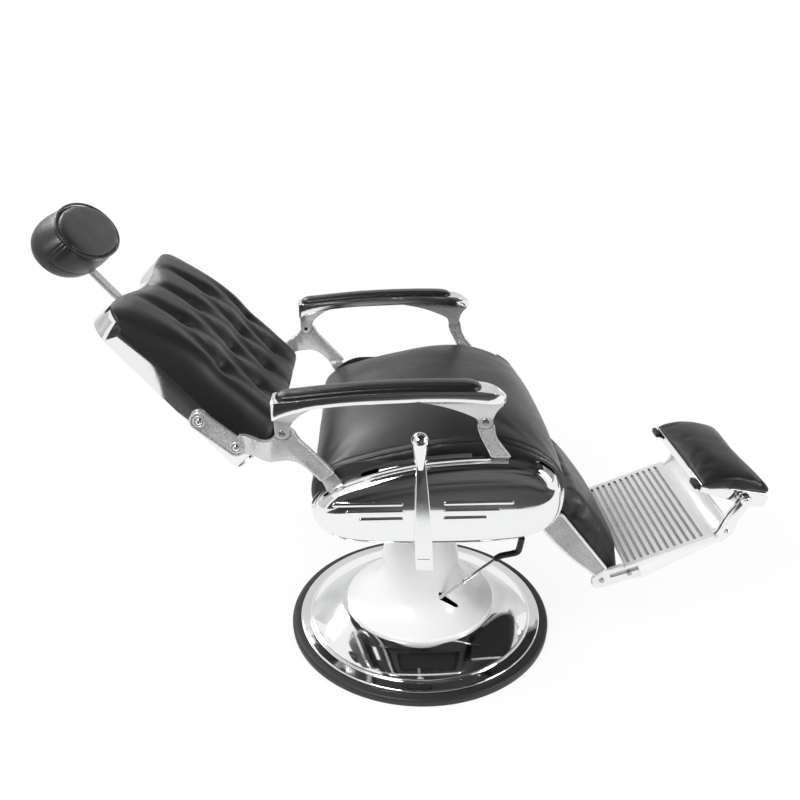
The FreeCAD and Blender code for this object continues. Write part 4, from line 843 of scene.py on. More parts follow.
def rims_of(bm, least=0.6, test=None):
    """Sharp edges that pass a test on their middle point in millimetres."""
    found = []
    for edge in bm.edges:
        if len(edge.link_faces) == 2 and edge.calc_face_angle(0) > least:
            middle = (edge.verts[0].co + edge.verts[1].co) / 2 / MM
            if test is None or test(middle):
                found.append(edge)
    return found


def softened(bm, edges, reach, segments=4):
    """Bevels the edges round."""
    bmesh.ops.bevel(bm, geom=edges, offset=reach * MM, offset_type="OFFSET",
                    segments=segments, profile=0.5, affect="EDGES", material=-1,
                    clamp_overlap=True)
    return bm


TOP_LINE = [(-306, 757), (-290, 758), (-261, 760.5), (-213, 765.5), (-154, 771), (-80, 775),
            (0, 776.5), (84, 775.5), (104, 773), (122, 768), (136, 760), (146, 752)]
UNDER_LINE = [(-306, 719), (-290, 727), (-273, 733), (-237, 742), (-202, 747), (-154, 751),
              (-8, 756), (59, 754), (100, 750), (120, 747), (134, 744), (146, 744)]


def make_armrests():
    """The armrest castings: a level bar with a rounded nose and a web at each end."""
    bm = bmesh.new()
    face = outline(bm, [(-306, -350, 7, 5), (120, -350, 30, 12), (147, -322, 26, 12),
                        (120, -294, 30, 12), (-306, -294, 7, 5)], plan_place(700))
    extruded(bm, face, Vector((0, 0, 60)) * MM)
    sliced(bm, 0, [-298, -290, -276, -262, -240, -220, -180, -140, -100, -60, -20, 20,
                   50, 70, 84, 96, 106, 116, 124, 132, 138])
    sliced(bm, 2, [730])
    for vert in bm.verts:
        x = vert.co.x / MM
        low, high = bent(x, UNDER_LINE), bent(x, TOP_LINE)
        if vert.co.z > 0.75:
            vert.co.z = high * MM
        elif vert.co.z > 0.715:
            vert.co.z = (low * 0.8 + high * 0.2) * MM
        else:
            vert.co.z = low * MM
            vert.co.y = ARM_Y * MM + (vert.co.y - ARM_Y * MM) * 0.93
    closed(bm)
    softened(bm, rims_of(bm, 0.9, lambda p: p.z > bent(p.x, TOP_LINE) - 4), 2.2)
    softened(bm, rims_of(bm, 0.7, lambda p: p.z < bent(p.x, UNDER_LINE) + 4), 2.6, 4)
    pivots = (ARM_REAR, ARM_FRONT)
    slots = [outward((x, ARM_Y + 4.9, z), 18, 9.8, 0) for x, z in pivots]
    webs = [arm_web([(-304, 744), (-303, 710, 12), (-302, 675, 12.4), (-276, 675, 12.4),
                     (-272, 704, 14), (-254, 726, 24), (-196, 755)]),
            arm_web([(-60, 759), (42, 737, 46), (85, 712, 6), (88.5, 692, 12.4),
                     (114.5, 692, 12.4), (117, 724, 16), (135, 744, 4), (120, 758)])]
    whole = together(bm, *[cut(web, slot) for web, slot in zip(webs, slots)])
    pins = together(*[outward((x, y, z), *size) for x, z in pivots for y, *size in
                      ((-312.6, 5, 19), (-331.2, 7.2, 2.6, 1.2), (-333.4, 3, 1, 0.4))])
    for name, casting, rivets in (("left", mirrored(whole), mirrored(pins)),
                                  ("right", whole, pins)):
        arm = "arm_" + name
        piece("arm_casting_" + name, casting, ["polished casting", "satin casting"], arm,
              ["armrest_" + name])
        piece("arm_pivots_" + name, rivets, "machined steel", arm,
              ["arm_pins_" + name])
        make_arm_pad(name)


def arm_web(corners):
    """One forked ear, flaring out where it meets the bar."""
    bm = bmesh.new()
    face = outline(bm, corners, side_place(-312.6), 8)
    extruded(bm, face, Vector((0, -18.8, 0)) * MM)
    sliced(bm, 2, [700, 712, 720, 728, 736, 742, 748])
    for vert in bm.verts:
        flare = max(0.0, (vert.co.z / MM - 706) / 50)
        vert.co.y = ARM_Y * MM + (vert.co.y - ARM_Y * MM) * (1 + 1.15 * flare ** 1.8)
    closed(bm)
    return painted(softened(bm, rims_of(bm, 0.9, lambda p: p.z < 752), 2.4, 4), 1)


def make_arm_pad(name):
    """The black pad let into the armrest's top, rounded in front."""
    bm = bmesh.new()
    face = outline(bm, oblong(-298, -345, 92, -299, 22, 12), plan_place(0))
    domed(bm, face, ((0, 4), (0.8, 6.2), (2.2, 8.2), (4.6, 10), (8, 11.4), (12.5, 12.4),
                     (18, 13)), 22, (-276, 70), ARM_Y)
    sliced(bm, 0, [-290, -284, -278, -270, -260, -250, -235, -220, -200, -180, -160, -140,
                   -120, -100, -60, -20, 10, 30, 50, 62, 72, 80, 87])
    closed(bm)
    for vert in bm.verts:
        fall = 1 - 0.35 * max(0.0, (vert.co.x / MM - 50) / 40) ** 2
        vert.co.z = vert.co.z * fall + (bent(vert.co.x / MM, TOP_LINE) - 0.4) * MM
    pad = piece("arm_leather_" + name, mirrored(bm) if name == "left" else bm,
                "arm vinyl", "arm_" + name, ["arm_pad_" + name])


def eye(point, thick):
    """A round pivot eye in the middle of an armrest's fork."""
    return outward((point[0], ARM_Y + thick / 2, point[1]), 13, thick, 0.8)


def hidden_plate(corners):
    """The inner plate of a post or bracket, just outside the cover's flange."""
    return plate(corners, side_place(-306.7), (0, -8.1, 0), 1)


def castings(name, bm, body):
    """A pair of castings, with satin rims and sand-cast fields."""
    for side, part in (("left", mirrored(bm)), ("right", bm)):
        piece(name + "_casting_" + side, part, ["satin casting", "sand casting"],
              body.format(side), [name + "_" + side])


def make_posts():
    """The front posts: sand-cast bars with satin rims."""
    blade = plate([(89.5, 699, 4), (95, 712, 6), (108, 712, 6), (119.5, 698, 8),
                   (123, 672, 24), (136, 652, 24), (156, 627, 4), (116, 627, 4),
                   (103, 654, 24), (92, 674, 24), (87, 690, 4)], side_place(-315),
                  (0, -14, 0), 1.5, recess=(3.4, sizes().recess), both=True)
    hidden = hidden_plate([(112, 646, 4), (132, 644, 4), (156, 616, 30), (196, 545, 60),
                           (230, 468, 8), (222, 452, 8), (203, 460, 8), (156, 552, 60),
                           (123, 622, 30)])
    castings("post", together(thinned(blade, ARM_FRONT), hidden, eye(ARM_FRONT, 9)),
             "front_post_{}")


def thinned(bm, pivot):
    """Takes a casting's cheeks off round a pivot."""
    for level, thick in ((-305, 12.5), (-326.5, 12)):
        bm = cut(bm, outward((pivot[0], level, pivot[1]), 18.2, thick, 0))
    return bm


def make_brackets():
    """The rear brackets: a slotted arm on the back, a swept web and a sand-cast bar."""
    web = plate([(-192, 598.5, 3), (-207, 615, 50), (-236, 648, 40), (-258, 671, 12),
                 (-268, 692, 8), (-282, 697, 6), (-297, 697, 6), (-308, 672, 12),
                 (-336, 657, 30), (-368, 650, 20), (-386, 652, 6), (-384, 612, 6),
                 (-366, 611, 16), (-336, 622, 40), (-276, 629, 30),
                 (-252, 618, 30), (-219, 580, 3)], side_place(-315), (0, -14, 0), 2)
    web = thinned(web, ARM_REAR)
    sand = plate([(-197.5, 598, 2), (-210.5, 612.5, 30), (-237, 641, 6), (-250, 625, 6),
                  (-216.5, 585.7, 2)], side_place(-327.7), (0, -6, 0), 0)
    web = sliced(cut(web, painted(sand, 1)), 0, range(-408, -306, 6))
    for vert in web.verts:
        share = min(max((-310 - vert.co.x / MM) / 66, 0), 1)
        vert.co.y += 63 * MM * share * share * (3 - 2 * share)
    hidden = hidden_plate([(-199, 596, 4), (-228, 590, 4), (-207, 556, 40),
                           (-196, 500, 40), (-187, 440, 10), (-161, 440, 10),
                           (-166, 500, 40), (-172, 566, 30)])
    castings("bracket", together(web, hidden, bracket_arm(), eye(ARM_REAR, 9)), "back")
    profile = [(0, 0), (7.4, 0), (7.4, 2.6, 1.4), (5.2, 4.4, 1.6), (2.6, 4.8, 0.6),
               (2.2, 3.6, 0.4), (0, 3.6)]
    heads = [moved(lathed(profile, 40),
                   BACK @ shift(forward, -265.2, rise) @ turned(90, "X"))
             for forward, rise in SCREWS]
    piece("bracket_heads", doubled(*heads), "chrome", "back",
          ["bracket_screws"])


def bracket_arm():
    """The slot-shaped arm of the bracket with its ringed screws."""
    (fa, ra), (fb, rb) = SCREWS
    length = math.hypot(fb - fa, rb - ra)
    lean = math.atan2(fb - fa, ra - rb)
    bm = plate(stadium(0, length / 2, 40, length + 40), side_place(0), (0, -12, 0), 2.2,
               recess=(3.6, 0.0024))
    rings = [moved(lathed([(8.6, 0), (13, 0), (13, 3.2, 1.2), (11.4, 4.6, 1),
                           (9.6, 4.4, 0.8), (8.6, 2, 0.5)], 40),
                   shift(0, -8.4, level) @ turned(90, "X")) for level in (0, length)]
    return moved(together(bm, *rings),
                 BACK @ shift(fb, -255, rb) @ Matrix.Rotation(-lean, 4, "Y"))


# Back

def back_outline(shrink):
    """The surround's outline (y, z along the back)."""
    half, low, top = BACK_HALF - shrink, BACK_LOW + shrink, BACK_TOP - shrink
    return [(-half, low, 38, 10), (half, low, 38, 10), (half, top + 1, 50, 14),
            (150, top + 1, 45, 10), (0, top - 30, 85, 16), (-150, top + 1, 45, 10),
            (-half, top + 1, 50, 14)]


def make_back_surround():
    """The polished band with its rolled front edge."""
    bm = bmesh.new()
    face = outline(bm, back_outline(0), front_place(-90))
    hoop(bm, face, 2.5, Vector((46, 0, 0)))
    softened(bm, rims_of(bm, 1.0), 0.9, 3)
    piece("back_surround", moved(bm, BACK), "chrome", "back",
          ["back_frame"])


def make_rear_panel():
    """The upholstered rear panel, raised towards its middle."""
    bm = bmesh.new()
    face = outline(bm, back_outline(3), front_place(-87))
    cap = extruded(bm, face, Vector((-2, 0, 0)) * MM)
    edge, level = 0.0, 2.0
    for inset, height in ((0.6, 3), (2, 4), (5, 4.8), (14, 5.4), (40, 6)):
        bmesh.ops.inset_region(bm, faces=[cap], thickness=(inset - edge) * MM, depth=0,
                               use_boundary=True, use_even_offset=True)
        bmesh.ops.translate(bm, vec=(-(height - level) * MM, 0, 0), verts=cap.verts)
        edge, level = inset, height
    panel = piece("rear_panel", moved(closed(bm), BACK), "panel vinyl", "back",
                  ["back_cover"])


def crest_height(y, rise):
    """How far forward the leather stands at a place on the back (mm)."""
    top = BACK_TOP - 24 * (1 + math.cos(math.pi * min(abs(y) / 175, 1))) / 2
    roll = (roundness(BACK_HALF - abs(y), 66) * roundness(rise - BACK_LOW - 4, 30)
            * roundness(top + 2 - rise, 32))
    lengthwise = (1 - 0.86 * (max(0.0, rise - 430) / 208) ** 1.78
                  + 0.2 * max(0.0, 400 - rise) / 170)
    return LEATHER_FACE + LEATHER_RISE * roll * lengthwise


def roundness(gap, reach):
    """A quarter-round rise from 0 at the edge to 1 a reach away."""
    share = min(max(gap / reach, 0.0), 1.0)
    return math.sqrt(1 - (1 - share) ** 2)


def tufted(y, rise):
    """How deep the buttons and folds pull the leather in (0 to 1)."""
    pull = 0.0
    for side, level in BUTTONS:
        across, up = y - side, rise - level
        dent = math.exp(-(math.hypot(across, up * 0.8) / 19) ** 1.6)
        fold = 0.6 * math.exp(-(across / 15) ** 2) * math.exp(-((up - 20) / 70) ** 2)
        pull = max(pull, dent, fold)
    for start, end in TUFT_FOLDS:
        pull = max(pull, 0.3 * fold_depth(Vector((y, rise)), Vector(start), Vector(end)))
    return pull


TUFT_FOLDS = [((side * BUTTON_STEP, level), ((side + step) * BUTTON_STEP, 403))
              for level in (315, 517) for side in (-1, 0, 1) for step in (-0.5, 0.5)]


def fold_depth(place, start, end):
    """A soft valley between two buttons."""
    run, away = end - start, place - start
    share = min(max(away.dot(run) / run.length_squared, 0), 1)
    gap = (away - run * share).length
    return math.exp(-(gap / 9) ** 2) * (1 - 0.55 * math.sin(math.pi * share))


def make_back_cushion():
    """The tufted leather of the back."""
    bm = plate(back_outline(-0.6), front_place(LEATHER_FACE), (LEATHER_RISE, 0, 0), 0)
    back = cushion("back_leather", bm, "back", "back_cushion")
    remeshed(back, 0.005)
    depth = sizes().tuft_depth / MM
    for vert in back.data.vertices:
        y, rise = vert.co.y / MM, vert.co.z / MM
        share = (vert.co.x / MM - LEATHER_FACE) / LEATHER_RISE
        height = crest_height(y, rise) - depth * tufted(y, rise) - LEATHER_FACE
        vert.co.x = (LEATHER_FACE + height * share) * MM
        low = max(0.0, 1 - (rise - BACK_LOW - 4) / 80) ** 2
        vert.co.z -= 16 * MM * low * math.sin(math.pi * min(share, 1) * 0.72)
    relaxed(back, 3)
    held = lambda point: point.x < -0.035 or any(
        math.hypot(point.y / MM - side, point.z / MM - rise) < 13
        for side, rise in BUTTONS)
    inflated(back, 3.0, 0.008, held, calm=3)
    back.data.transform(BACK)
    halved(back)


def make_buttons():
    """The covered buttons with a fine ring seam."""
    profile = [(0, 0), (9, 0), (10, 3, 1.5), (8.6, 6, 2.2), (3, 7.8, 2), (0, 8)]
    parts = []
    for side, rise in BUTTONS:
        forward = crest_height(side, rise) - sizes().tuft_depth / MM
        parts.append(moved(lathed(profile, 32),
                           BACK @ shift(forward - 3, side, rise) @ turned(90)))
    piece("leather_buttons", together(*parts), "button leather", "back",
          ["back_buttons"])


# Soft pieces

def cushion(name, bm, body, replaced):
    """A leather piece before it is stuffed."""
    return piece(name, bm, "leather", body, [replaced], smooth=0)


def applied(thing):
    """Makes the piece's modifiers part of its mesh."""
    result = evaluated(thing)
    thing.modifiers.clear()
    old = thing.data
    thing.data = result
    bpy.data.meshes.remove(old)
    result.name = thing.name
    result.shade_smooth()


def remeshed(thing, voxel):
    """Rebuilds the piece from small even faces."""
    even = thing.modifiers.new("Even", "REMESH")
    even.mode = "VOXEL"
    even.voxel_size = voxel
    even.use_smooth_shade = True
    applied(thing)


def relaxed(thing, rounds):
    """Smooths the mesh a little."""
    bm = bmesh.new()
    bm.from_mesh(thing.data)
    for _ in range(rounds):
        bmesh.ops.smooth_vert(bm, verts=bm.verts, factor=0.5, use_axis_x=True,
                              use_axis_y=True, use_axis_z=True)
    bm.to_mesh(thing.data)
    bm.free()


def halved(thing):
    """One round of subdivision, made part of the mesh."""
    finer = thing.modifiers.new("Finer", "SUBSURF")
    finer.levels = finer.render_levels = 1
    applied(thing)


def inflated(thing, pressure, cap, held, spare=0.0, calm=8):
    """Stuffs a cushion as cloth; no point moves more than the cap (metres)."""
    before = [vert.co.copy() for vert in thing.data.vertices]
    cloth = thing.modifiers.new("Stuffing", "CLOTH")
    settings = cloth.settings
    settings.quality = 5
    settings.mass = 0.25
    settings.use_pressure = True
    settings.uniform_pressure_force = pressure
    settings.shrink_min = -spare
    settings.bending_stiffness = 0.4
    settings.effector_weights.gravity = 0
    group = thing.vertex_groups.new(name="held")
    group.add([vert.index for vert in thing.data.vertices if held(vert.co)], 1, "REPLACE")
    settings.vertex_group_mass = group.name
    for number in range(1, STUFFING_FRAMES + 1):
        bpy.context.scene.frame_set(number)
    applied(thing)
    thing.vertex_groups.clear()
    for vert, start in zip(thing.data.vertices, before):
        move = vert.co - start
        if move.length > cap:
            vert.co = start + move * (cap / move.length)
    relaxed(thing, calm)
    bpy.context.scene.frame_set(1)


def stuffed(thing, voxel, pressure, cap, held, spare=0.0, calm=8):
    """Meshes a cushion evenly, stuffs it as cloth and refines it."""
    remeshed(thing, voxel)
    relaxed(thing, 2)
    inflated(thing, pressure, cap, held, spare, calm)
    halved(thing)


def cushion_body(corners, half, roll, cuts):
    """A side profile carried across the chair, with rolled side edges and cuts at y."""
    bm = plate(corners, side_place(-half), (0, half * 2, 0), 0)
    rims = [edge for edge in bm.edges
            if abs(edge.verts[0].co.y - edge.verts[1].co.y) < 1e-6]
    softened(bm, rims, roll, 7)
    return sliced(bm, 1, cuts)


def seam_points(thing, origin, directions, y, lift):
    """Points where rays in the plane at this y leave the piece, in metres."""
    bm = bmesh.new()
    bm.from_mesh(thing.data)
    tree = BVHTree.FromBMesh(bm)
    found = []
    centre = Vector((origin[0], y, origin[1])) * MM
    for angle in directions:
        way = Vector((math.cos(math.radians(angle)), 0, math.sin(math.radians(angle))))
        hit, normal, _, _ = tree.ray_cast(centre + way * 0.8, -way)
        if hit:
            found.append(hit + normal * lift)
    bm.free()
    return found


def sunk_seam(thing, gap, depth, width):
    """Pulls the leather in along a line; gap gives each point's distance to it."""
    normals = [vert.normal.copy() for vert in thing.data.vertices]
    for vert, normal in zip(thing.data.vertices, normals):
        pull = math.exp(-(gap(vert.co) / width) ** 2)
        if pull > 0.02:
            vert.co -= normal * depth * pull


def make_seat():
    """The leather seat with its side seams and piping."""
    corners = [(-230, 481, 14), (-252, 536, 30), (-222, 592, 34), (-86, 643, 60),
               (62, 672, 60), (172, 664, 50), (262, 604, 36), (295, 540, 30),
               (297, 500, 14), (284, 481, 8)]
    bm = cushion_body(corners, 293, 22, range(-240, 241, 60))
    for vert in bm.verts:
        share = min(abs(vert.co.y) / 0.284, 1.05) ** 2.2
        raised = min(max((vert.co.z - 0.56) / 0.09, 0), 1)
        vert.co.z -= 0.018 * share * raised
        front = min(max((vert.co.x - 0.2) / 0.09, 0), 1)
        vert.co.x -= 0.010 * share * front
    seat = cushion("seat_leather", bm, "seat", "seat_cushion")
    stuffed(seat, 0.0065, 3.5, 0.012, lambda point: point.z < 0.49 or
            abs(abs(point.y) - 0.283) < 0.004, 0.004, 12)
    sunk_seam(seat, lambda point: (abs(point.y) - 0.2835) if point.z > 0.484 else 1,
              0.0042, 0.0042)
    cords = []
    for side in (-1, 1):
        line = seam_points(seat, (30, 520), range(194, -12, -9), side * 283.5, 0.0004)
        cords.append(tube(line, sizes().piping, corner=6))
    piece("seat_piping", together(*cords), "button leather", "seat")


def make_calf_pad():
    """The leather calf pad."""
    corners = [(272, 432, 3), (262, 456, 10), (276, 476, 10), (312, 478, 22),
               (400, 382, 60), (470, 246, 12), (456, 228, 10), (438, 232, 8), (414, 251, 3)]
    bm = cushion_body(corners, 158, 17, range(-120, 121, 60))
    for vert in bm.verts:
        share = min(abs(vert.co.y) / 0.161, 1) ** 2.5
        front = (vert.co.x - 0.3) + (vert.co.z - 0.3)
        if front > 0.03:
            vert.co.x -= 0.012 * share
            vert.co.z -= 0.008 * share
    pad = cushion("calf_leather", bm, "seat", "calf_pad")
    stuffed(pad, 0.0045, 4, 0.008, lambda point: (point.x - 0.272) * 0.78
            + (point.z - 0.432) * 0.62 < 0.006, 0.02, 6)


def make_headrest():
    """The drum-shaped headrest with piping round its front and sunk seams."""
    rings = ((-137, 54, 38), (-135, 36, 24), (-129, 18, 12), (-119, 7, 5), (-98, 1, 1),
             (-76, 2, 3), (-58, 4, 6), (-50, 6.5, 10), (-46, 12, 16), (-44, 24, 26),
             (-42.5, 46, 44))
    bm = bmesh.new()
    bmesh.ops.create_circle(bm, cap_ends=True, segments=96, radius=1)
    cap = bm.faces[:][0]
    wide, tall = HEAD_HALF
    forward, across, up = rings[0]
    for vert in bm.verts:
        angle = math.atan2(vert.co.y, vert.co.x)
        vert.co = Vector((forward, (wide - across) * math.cos(angle) * squared(angle),
                          HEAD_LEVEL + (tall - up) * math.sin(angle)
                          * squared(angle))) * MM
    for old, new in zip(rings, rings[1:]):
        drop = headrest_level(new[0]) - headrest_level(old[0])
        cap = extruded(bm, cap, Vector((new[0] - old[0], 0, drop)) * MM)
        middle = headrest_level(new[0]) * MM
        for vert in cap.verts:
            vert.co.y *= (wide - new[1]) / (wide - old[1])
            vert.co.z = (middle + (vert.co.z - middle)
                         * ((tall - new[2]) / (tall - old[2])))
    closed(bm)
    bmesh.ops.poke(bm, faces=[face for face in bm.faces if len(face.verts) > 4])
    rest = cushion("headrest_leather", bm, "headrest", "headrest_cushion")
    stuffed(rest, 0.004, 3, 0.006, lambda point: abs(point.x + 0.051) < 0.003, calm=10)
    sunk_seam(rest, lambda point: point.x + 0.0515, 0.0022, 0.0026)
    sunk_seam(rest, lambda point: point.x + 0.124, 0.0016, 0.0022)
    for level, depth in ((0.7835, 0.0011), (0.7765, 0.0022), (0.7695, 0.0011)):
        sunk_seam(rest, lambda point: point.z - level if abs(point.y) > 0.1 and
                  -0.124 < point.x < -0.052 else 1, depth, 0.0019)
    sunk_seam(rest, lambda point: point.x + 0.101 if point.z < 0.7765 else 1,
              0.0017, 0.002)
    ring = [ring_point(-51.5, angle, rest) for angle in range(0, 360, 5)]
    cord = tube(ring, sizes().piping, closed_up=True, corner=4)
    rest.data.transform(BACK)
    pocketed(rest)
    piece("headrest_piping", moved(cord, BACK), "button leather", "headrest")


def pocketed(rest):
    """Cuts the pocket for the hinge bracket into the headrest's underside."""
    pocket = bmesh.new()
    bmesh.ops.create_cube(pocket, size=1, matrix=BACK
                          @ Matrix.Translation((-0.112, 0, 0.72))
                          @ Matrix.Diagonal((0.046, 0.048, 0.09, 1)))
    drum = bmesh.new()
    drum.from_mesh(rest.data)
    drum = cut(drum, pocket)
    drum.to_mesh(rest.data)
    drum.free()
    rest.data.shade_smooth()


def headrest_level(forward):
    """The drum's middle droops slightly towards its front face."""
    return HEAD_LEVEL - 7 * min(max((forward + 100) / 58, 0), 1)


def squared(angle):
    """Squares an oval a little."""
    across, up = abs(math.cos(angle)), abs(math.sin(angle))
    return (across ** DRUM_POWER + up ** DRUM_POWER) ** (-1 / DRUM_POWER)


def ring_point(forward, angle, rest):
    """A point on the headrest's side at this forward place and angle."""
    wide, tall = HEAD_HALF
    way = Vector((0, wide * math.cos(math.radians(angle)),
                  tall * math.sin(math.radians(angle)))) * MM
    centre = Vector((forward, 0, 776)) * MM
    where = rest.closest_point_on_mesh(centre + way * 1.02)[1]
    where.x = forward * MM
    return where + Vector((0, way.y, way.z)).normalized() * 0.0006


def make_stem():
    """The flat stem of the headrest."""
    bar = plate(oblong(-15, 520, 15, 749, 3), front_place(-116), (8, 0, 0), 1.8)
    piece("stem_bar", moved(bar, BACK), "satin casting", "stem",
          ["headrest_stem"])


# Legrest

def make_leg_plates():
    """Satin plates with a raised rim round a leaf-shaped field."""
    corners = [(254, 376, 6), (304, 408, 16), (426, 252, 8), (399, 231, 8), (318, 296, 60)]
    bm = plate(corners, side_place(-164.2), (0, -9.8, 0), 1.6, recess=(5, sizes().recess))
    piece("leg_wings", doubled(bm), ["satin aluminium", "sand casting"], "seat",
          ["leg_plates"])


def make_foot_rails():
    """The corner castings with their long slots."""
    bm = plate([(-70, -6, 8), (-77, -26, 8), (-68, -39, 8), (40, -45, 6), (60, -42, 4),
                (60, -8.4, 2), (10, -8.4, 2), (8, -0.5, 3), (-30, 0.5, 10)],
               side_place(-166), (0, -12, 0), 1.6)
    slot = plate([(-30, -21, 4.9, 8), (-30, -11, 4.9, 8), (42, -15, 4.9, 8),
                  (42, -25, 4.9, 8)], side_place(-175.4), (0, -8, 0), 0)
    piece("corner_castings", doubled(moved(cut(bm, painted(slot, 1)), FOOT)),
          ["satin aluminium", "sand casting"], "seat", ["foot_rails"])


def make_foot_plate():
    """The ribbed plate with its turned-up front strip and side skirts."""
    slab = plate([(10, -8, 1), (222, -8, 1), (222, 0, 0.5), (10, 0, 2)], side_place(184),
                 (0, -368, 0), 1)
    slab = cut(slab, together(*[flute(18 + 16 * number, 7) for number in range(12)]))
    lip = plate([(216, -8, 1), (226, -3.5, 10), (246, -2.5, 16), (268, 12, 2), (260, 20, 2),
                 (242, 4, 16), (222, 0, 10), (216, 0)], side_place(161), (0, -322, 0), 1.2)
    skirts = [plate([(38, -6, 1), (232, -6, 3), (232, -19, 3), (38, -45, 4)],
                    side_place(y), (0, -6, 0), 1.2) for y in (184, -178)]
    # The flutes' faces take the second, darker finish: painted shade in the grooves.
    piece("ribbed_plate", moved(together(slab, lip, *skirts), FOOT),
          ["satin aluminium", "groove metal"], "seat", ["foot_plate"])


def flute(start, width):
    """A cutter for one groove: round-ended, flared towards the top."""
    bm = bmesh.new()
    deep = sizes().rib_depth
    corners = oblong(start + 1, -171, start + width - 1, 171, width / 2 - 1.2, 8)
    face = outline(bm, corners, plan_place(-deep / MM))
    cap = extruded(bm, face, Vector((0, 0, deep * 0.55)))
    for lift, spread in ((0.3, 0.8), (0.25, 1.6)):
        cap = extruded(bm, cap, Vector((0, 0, deep * lift)))
        centre = cap.calc_center_median()
        for vert in cap.verts:
            vert.co.x += math.copysign(spread * 0.5 * MM, vert.co.x - centre.x)
            vert.co.y += math.copysign(spread * 0.5 * MM, vert.co.y)
    # The groove's faces take the second slot, which carries its painted shade.
    return painted(closed(bm), 1)


def make_foot_arms():
    """The elbows that carry the foot pad, and the screws of the legrest."""
    arm = plate([(130, -26.5, 3), (236, -26.5, 12), (272, -14, 20), (280, 12, 8),
                 (322, 46, 10), (328, 62, 11), (312, 72, 12), (297, 60, 12), (258, 32, 12),
                 (236, 5, 10), (222, -3.5, 3), (222, -8.4, 1), (130, -8.4, 2)],
                side_place(-166), (0, -12, 0), 2)
    rounds = [outward(*values) for values in
              (((312.2, -165, 57.2), 13, 14, 1), ((252, -177.6, -8), 7, 4.2, 1.4),
               ((252, -181.6, -8), 3.2, 1.4, 0.5), ((312.2, -178, 57.2), 6.4, 3, 1.2))]
    piece("elbow_arms", doubled(moved(together(arm, *rounds), FOOT)),
          "polished casting", "seat", ["foot_arms"])
    profile = [(0, 0), (6.2, 0), (6.2, 2.6, 1), (4.6, 4.2, 1.6), (0, 4.4)]
    heads = [moved(lathed(profile, 32), shift(x, -177.9, z) @ turned(90, "X"))
             for x, z in ((475, 244), (412, 226))]
    piece("leg_heads", doubled(*heads), "machined steel", "seat",
          ["leg_screws"])


def make_tray():
    """The bright tray under the foot pad, its studs and rubber stops."""
    corners = [(618, 446, 2), (622, 463, 2), (781, 435, 3), (773.5, 403, 6), (728, 404, 14),
               (696, 420, 10)]
    shell = plate(corners, side_place(158), (0, -316, 0), 1.6)
    studs = [outward((720, y, 432), 5, 25) for y in (-158, 183)]
    piece("pad_tray", together(shell, *studs), "chrome", "foot_pad",
          ["foot_tray"])
    blocks = []
    for y in (-135, 135):
        bm = bmesh.new()
        bmesh.ops.create_cube(bm, size=1, matrix=shift(614, y, 454.5)
                              @ Matrix.Diagonal((0.0105, 0.034, 0.013, 1)))
        softened(bm, bm.edges[:], 2.2, 3)
        blocks.append(bm)
    piece("tray_stops", together(*blocks), "rubber", "foot_pad",
          ["pad_bumpers"])


def make_foot_pad():
    """The leather foot pad."""
    corners = [(624, 462.6, 2), (621, 472, 5), (650, 484, 24), (706, 487, 40),
               (762, 470, 24), (785, 444, 8), (780, 435.2, 2)]
    bm = cushion_body(corners, 156, 12, range(-110, 111, 55))
    for vert in bm.verts:
        share = min(abs(vert.co.y) / 0.158, 1) ** 2.4
        if vert.co.z > 0.462:
            vert.co.z -= 0.008 * share
    pad = cushion("foot_leather", bm, "foot_pad", "foot_cushion")
    stuffed(pad, 0.004, 4, 0.006,
            lambda point: point.z < 0.4635 - (point.x - 0.624) * 0.176 + 0.003, 0.01)


def dress_hidden():
    """Finishes for the CAD nodes that are shown as they are."""
    for finish, names in (
            ("cast iron", ["base_plate"]),
            ("chrome", ["piston_rod"]),
            ("brass", ["swivel_bearing"]),
            ("plastic", ["socket_knob"]),
            ("dust cloth", ["seat_board", "calf_board", "back_board"]),
            ("frame paint", ["pump_cylinder", "pedal_bracket", "seat_mount", "seat_frame",
                             "side_plates", "leg_hangers", "lock_cylinder",
                             "headrest_socket", "headrest_bracket"]),
            ("machined steel", ["gland_nut", "pump_bolts", "pedal_pin", "pump_plunger",
                                "post_pins", "back_shaft", "lock_rod", "lever_shaft"])):
        for name in names:
            dress(name, finish)


# Stage

def staged(name, bm, material):
    """A piece of the stage."""
    mesh = mesh_of(bm, name)
    mesh.materials.append(material)
    thing = placed(name, mesh)
    return thing


def floor_finish():
    """Pale floor: half its own white to the camera, half lit, so that shadows show."""
    material, tree, shader = new_material("floor")
    fed(tree, shader, {"Base Color": (0.96, 0.96, 0.96, 1), "Roughness": 0.9})
    glow = fed(tree, node(tree, "ShaderNodeEmission"), {"Color": WHITE})
    away = fed(tree, node(tree, "ShaderNodeVectorMath", operation="LENGTH"),
               {0: object_place(tree)})
    spread = fed(tree, node(tree, "ShaderNodeMapRange", interpolation_type="SMOOTHSTEP"),
                 {"From Min": 0.7, "From Max": 2.4, "To Min": 0.84,
                  "Value": away.outputs["Value"]})
    share = times(tree, seen_rays(tree), spread.outputs["Result"])
    mixed(tree, share, shader, glow, "Material Output")
    return material


def mixed(tree, share, first, second, output):
    """Two shaders mixed by a share, as the surface of the tree's output."""
    mix = fed(tree, node(tree, "ShaderNodeMixShader"),
              {0: share, 1: first.outputs[0], 2: second.outputs[0]})
    fed(tree, tree.nodes[output], {"Surface": mix.outputs[0]})


def seen_rays(tree):
    """1 for camera, glossy and transmission rays."""
    path = node(tree, "ShaderNodeLightPath")
    first = math_node(tree, "MAXIMUM", path.outputs["Is Camera Ray"],
                      path.outputs["Is Glossy Ray"])
    return math_node(tree, "MAXIMUM", first, path.outputs["Is Transmission Ray"])


